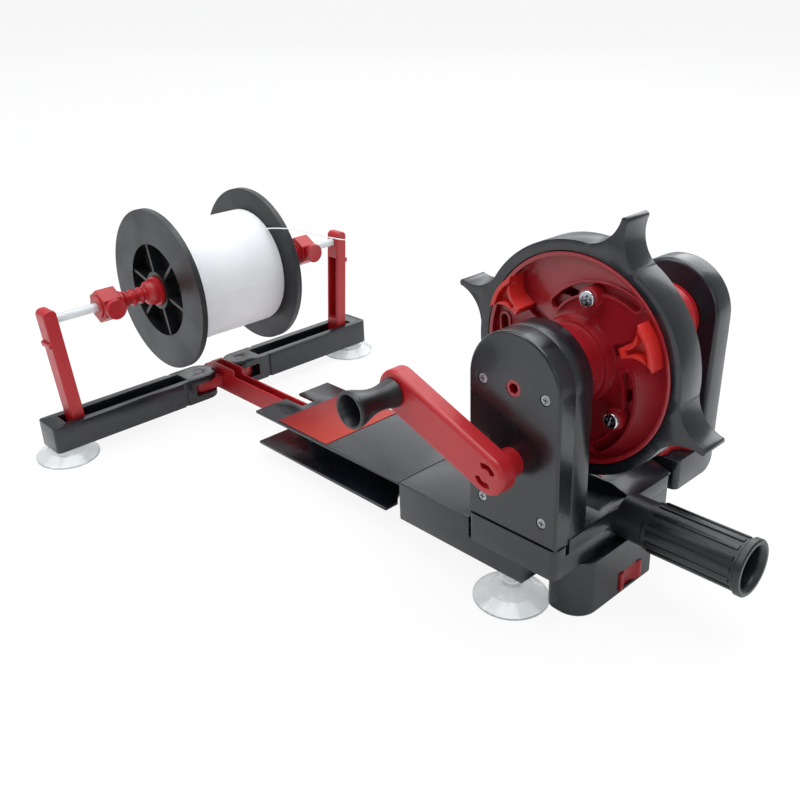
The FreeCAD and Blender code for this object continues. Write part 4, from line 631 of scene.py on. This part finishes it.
def free_line():
    """The free end of the line, on the route that the solid tube takes."""
    route_mm = [(-281.2, 34.2, 129.05), (-269.0, 34.0, 131.6), (-259.6, 37.0, 132.2),
                (-259.2, 46.0, 129.6), (-272.5, 68.0, 120.2), (-288.4, 91.0, 110.6),
                (-297.6, 107.0, 103.6), (-299.4, 122.0, 98.6)]
    curve = bpy.data.curves.new("free_line", "CURVE")
    curve.dimensions = "3D"
    curve.bevel_depth = 0.4 * MM
    curve.bevel_resolution = 2
    curve.use_fill_caps = True
    spline = curve.splines.new("NURBS")
    spline.points.add(len(route_mm) - 1)
    for point, place in zip(spline.points, route_mm):
        point.co = (*(STANCE @ (Vector(place) * MM)), 1.0)
    spline.order_u = 3
    spline.use_endpoint_u = True
    spline.resolution_u = 8
    curve.materials.append(line_white)
    made = bpy.data.objects.new("free_line", curve)
    bpy.context.scene.collection.objects.link(made)
    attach(made, "axle")
    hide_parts("line_tail")
    return made


free_line()


# Floor, light and camera

def seen_white(tree, glossy_share):
    """How far a ray sees plain white: camera and clear rays fully, glossy ones in part."""
    path = add(tree, "LightPath")
    clear = add(tree, "Math", {0: path.outputs["Is Camera Ray"],
                               1: path.outputs["Is Transmission Ray"]}, operation="MAXIMUM")
    dim = add(tree, "Math", {0: path.outputs["Is Glossy Ray"]}, operation="MULTIPLY")
    dim.inputs[1].default_value = glossy_share
    return add(tree, "Math", {0: clear.outputs[0], 1: dim.outputs[0]},
               operation="MAXIMUM").outputs[0]


def stage_and_light():
    """A pale floor that keeps the shadow, a white surround and five soft lamps."""
    floor_size, floor_drop_mm, white_share = 6.0, 0.2, 0.90
    floor_shape = bmesh.new()
    bmesh.ops.create_grid(floor_shape, x_segments=1, y_segments=1, size=floor_size)
    mesh = bpy.data.meshes.new("studio_floor")
    floor_shape.to_mesh(mesh)
    floor_shape.free()
    floor = bpy.data.objects.new("studio_floor", mesh)
    floor.location.z = -floor_drop_mm * MM
    bpy.context.scene.collection.objects.link(floor)
    pale = bpy.data.materials.new("pale_floor")
    pale.use_nodes = True
    tree = pale.node_tree
    tree.nodes.clear()
    sweep = add(tree, "BsdfDiffuse", Color=linear("#f4f4f4"))
    glow = add(tree, "Emission", Color=(1.0, 1.0, 1.0, 1.0), Strength=1.0)
    share = add(tree, "Math", {0: seen_white(tree, 0.22)}, operation="MULTIPLY")
    share.inputs[1].default_value = white_share
    mix = add(tree, "MixShader", {0: share.outputs[0], 1: sweep.outputs["BSDF"],
                                  2: glow.outputs["Emission"]})
    add(tree, "OutputMaterial", {"Surface": mix.outputs[0]})
    mesh.materials.append(pale)

    world = bpy.data.worlds.new("studio")
    bpy.context.scene.world = world
    world.use_nodes = True
    tree = world.node_tree
    tree.nodes.clear()
    ambient = add(tree, "Background", Color=linear("#e9eef5"), Strength=0.36)
    white = add(tree, "Background", Color=(1.0, 1.0, 1.0, 1.0), Strength=1.0)
    mix = add(tree, "MixShader", {0: seen_white(tree, 0.25), 1: ambient.outputs[0],
                                  2: white.outputs[0]})
    add(tree, "OutputWorld", {"Surface": mix.outputs[0]})

    middle_of_machine = Vector((-0.12, 0.0, 0.08))
    lamps = [("key_lamp", (-0.8, -0.8, 1.1), 0.8, 7.0), ("fill_lamp", (1.2, -0.7, 0.8), 0.7, 2.0),
             ("back_lamp", (-0.3, 1.2, 0.9), 1.0, 8.0), ("top_lamp", (-0.1, 0.1, 1.5), 1.3, 20.0),
             ("sheen_lamp", (-1.3, 1.2, 1.15), 1.7, 9.0)]
    for name, place, size, power in lamps:
        lamp = bpy.data.lights.new(name, "AREA")
        lamp.shape = "SQUARE"
        lamp.size = size
        lamp.energy = power
        lamp.color = (0.95, 0.975, 1.0)
        made = bpy.data.objects.new(name, lamp)
        made.location = place
        aim = middle_of_machine - Vector(place)
        made.rotation_euler = aim.to_track_quat("-Z", "Y").to_euler()
        bpy.context.scene.collection.objects.link(made)


def camera():
    """The photograph's view, worked out from measured points on the machine."""
    focal_pixels, frame_pixels, sensor_mm = 945.9, 800.0, 36.0
    yaw, pitch, roll = (math.radians(angle) for angle in (-47.19, -25.23, -2.05))
    place = Vector((258.63, -342.91, 300.0)) * MM
    forward = Vector((math.sin(yaw) * math.cos(pitch), math.cos(yaw) * math.cos(pitch),
                      math.sin(pitch)))
    level = forward.cross(ALONG_Z).normalized()
    rising = level.cross(forward)
    right = level * math.cos(roll) + rising * math.sin(roll)
    up = right.cross(forward)
    lens = bpy.data.cameras.new("camera")
    lens.sensor_width = sensor_mm
    lens.lens = sensor_mm * focal_pixels / frame_pixels
    lens.clip_start = 0.01
    made = bpy.data.objects.new("camera", lens)
    bpy.context.scene.collection.objects.link(made)
    turn = Matrix((right, up, -forward)).transposed().to_4x4()
    made.matrix_world = STANCE @ Matrix.Translation(place) @ turn
    bpy.context.scene.camera = made


stage_and_light()
camera()
bpy.context.scene.view_settings.view_transform = "Standard"
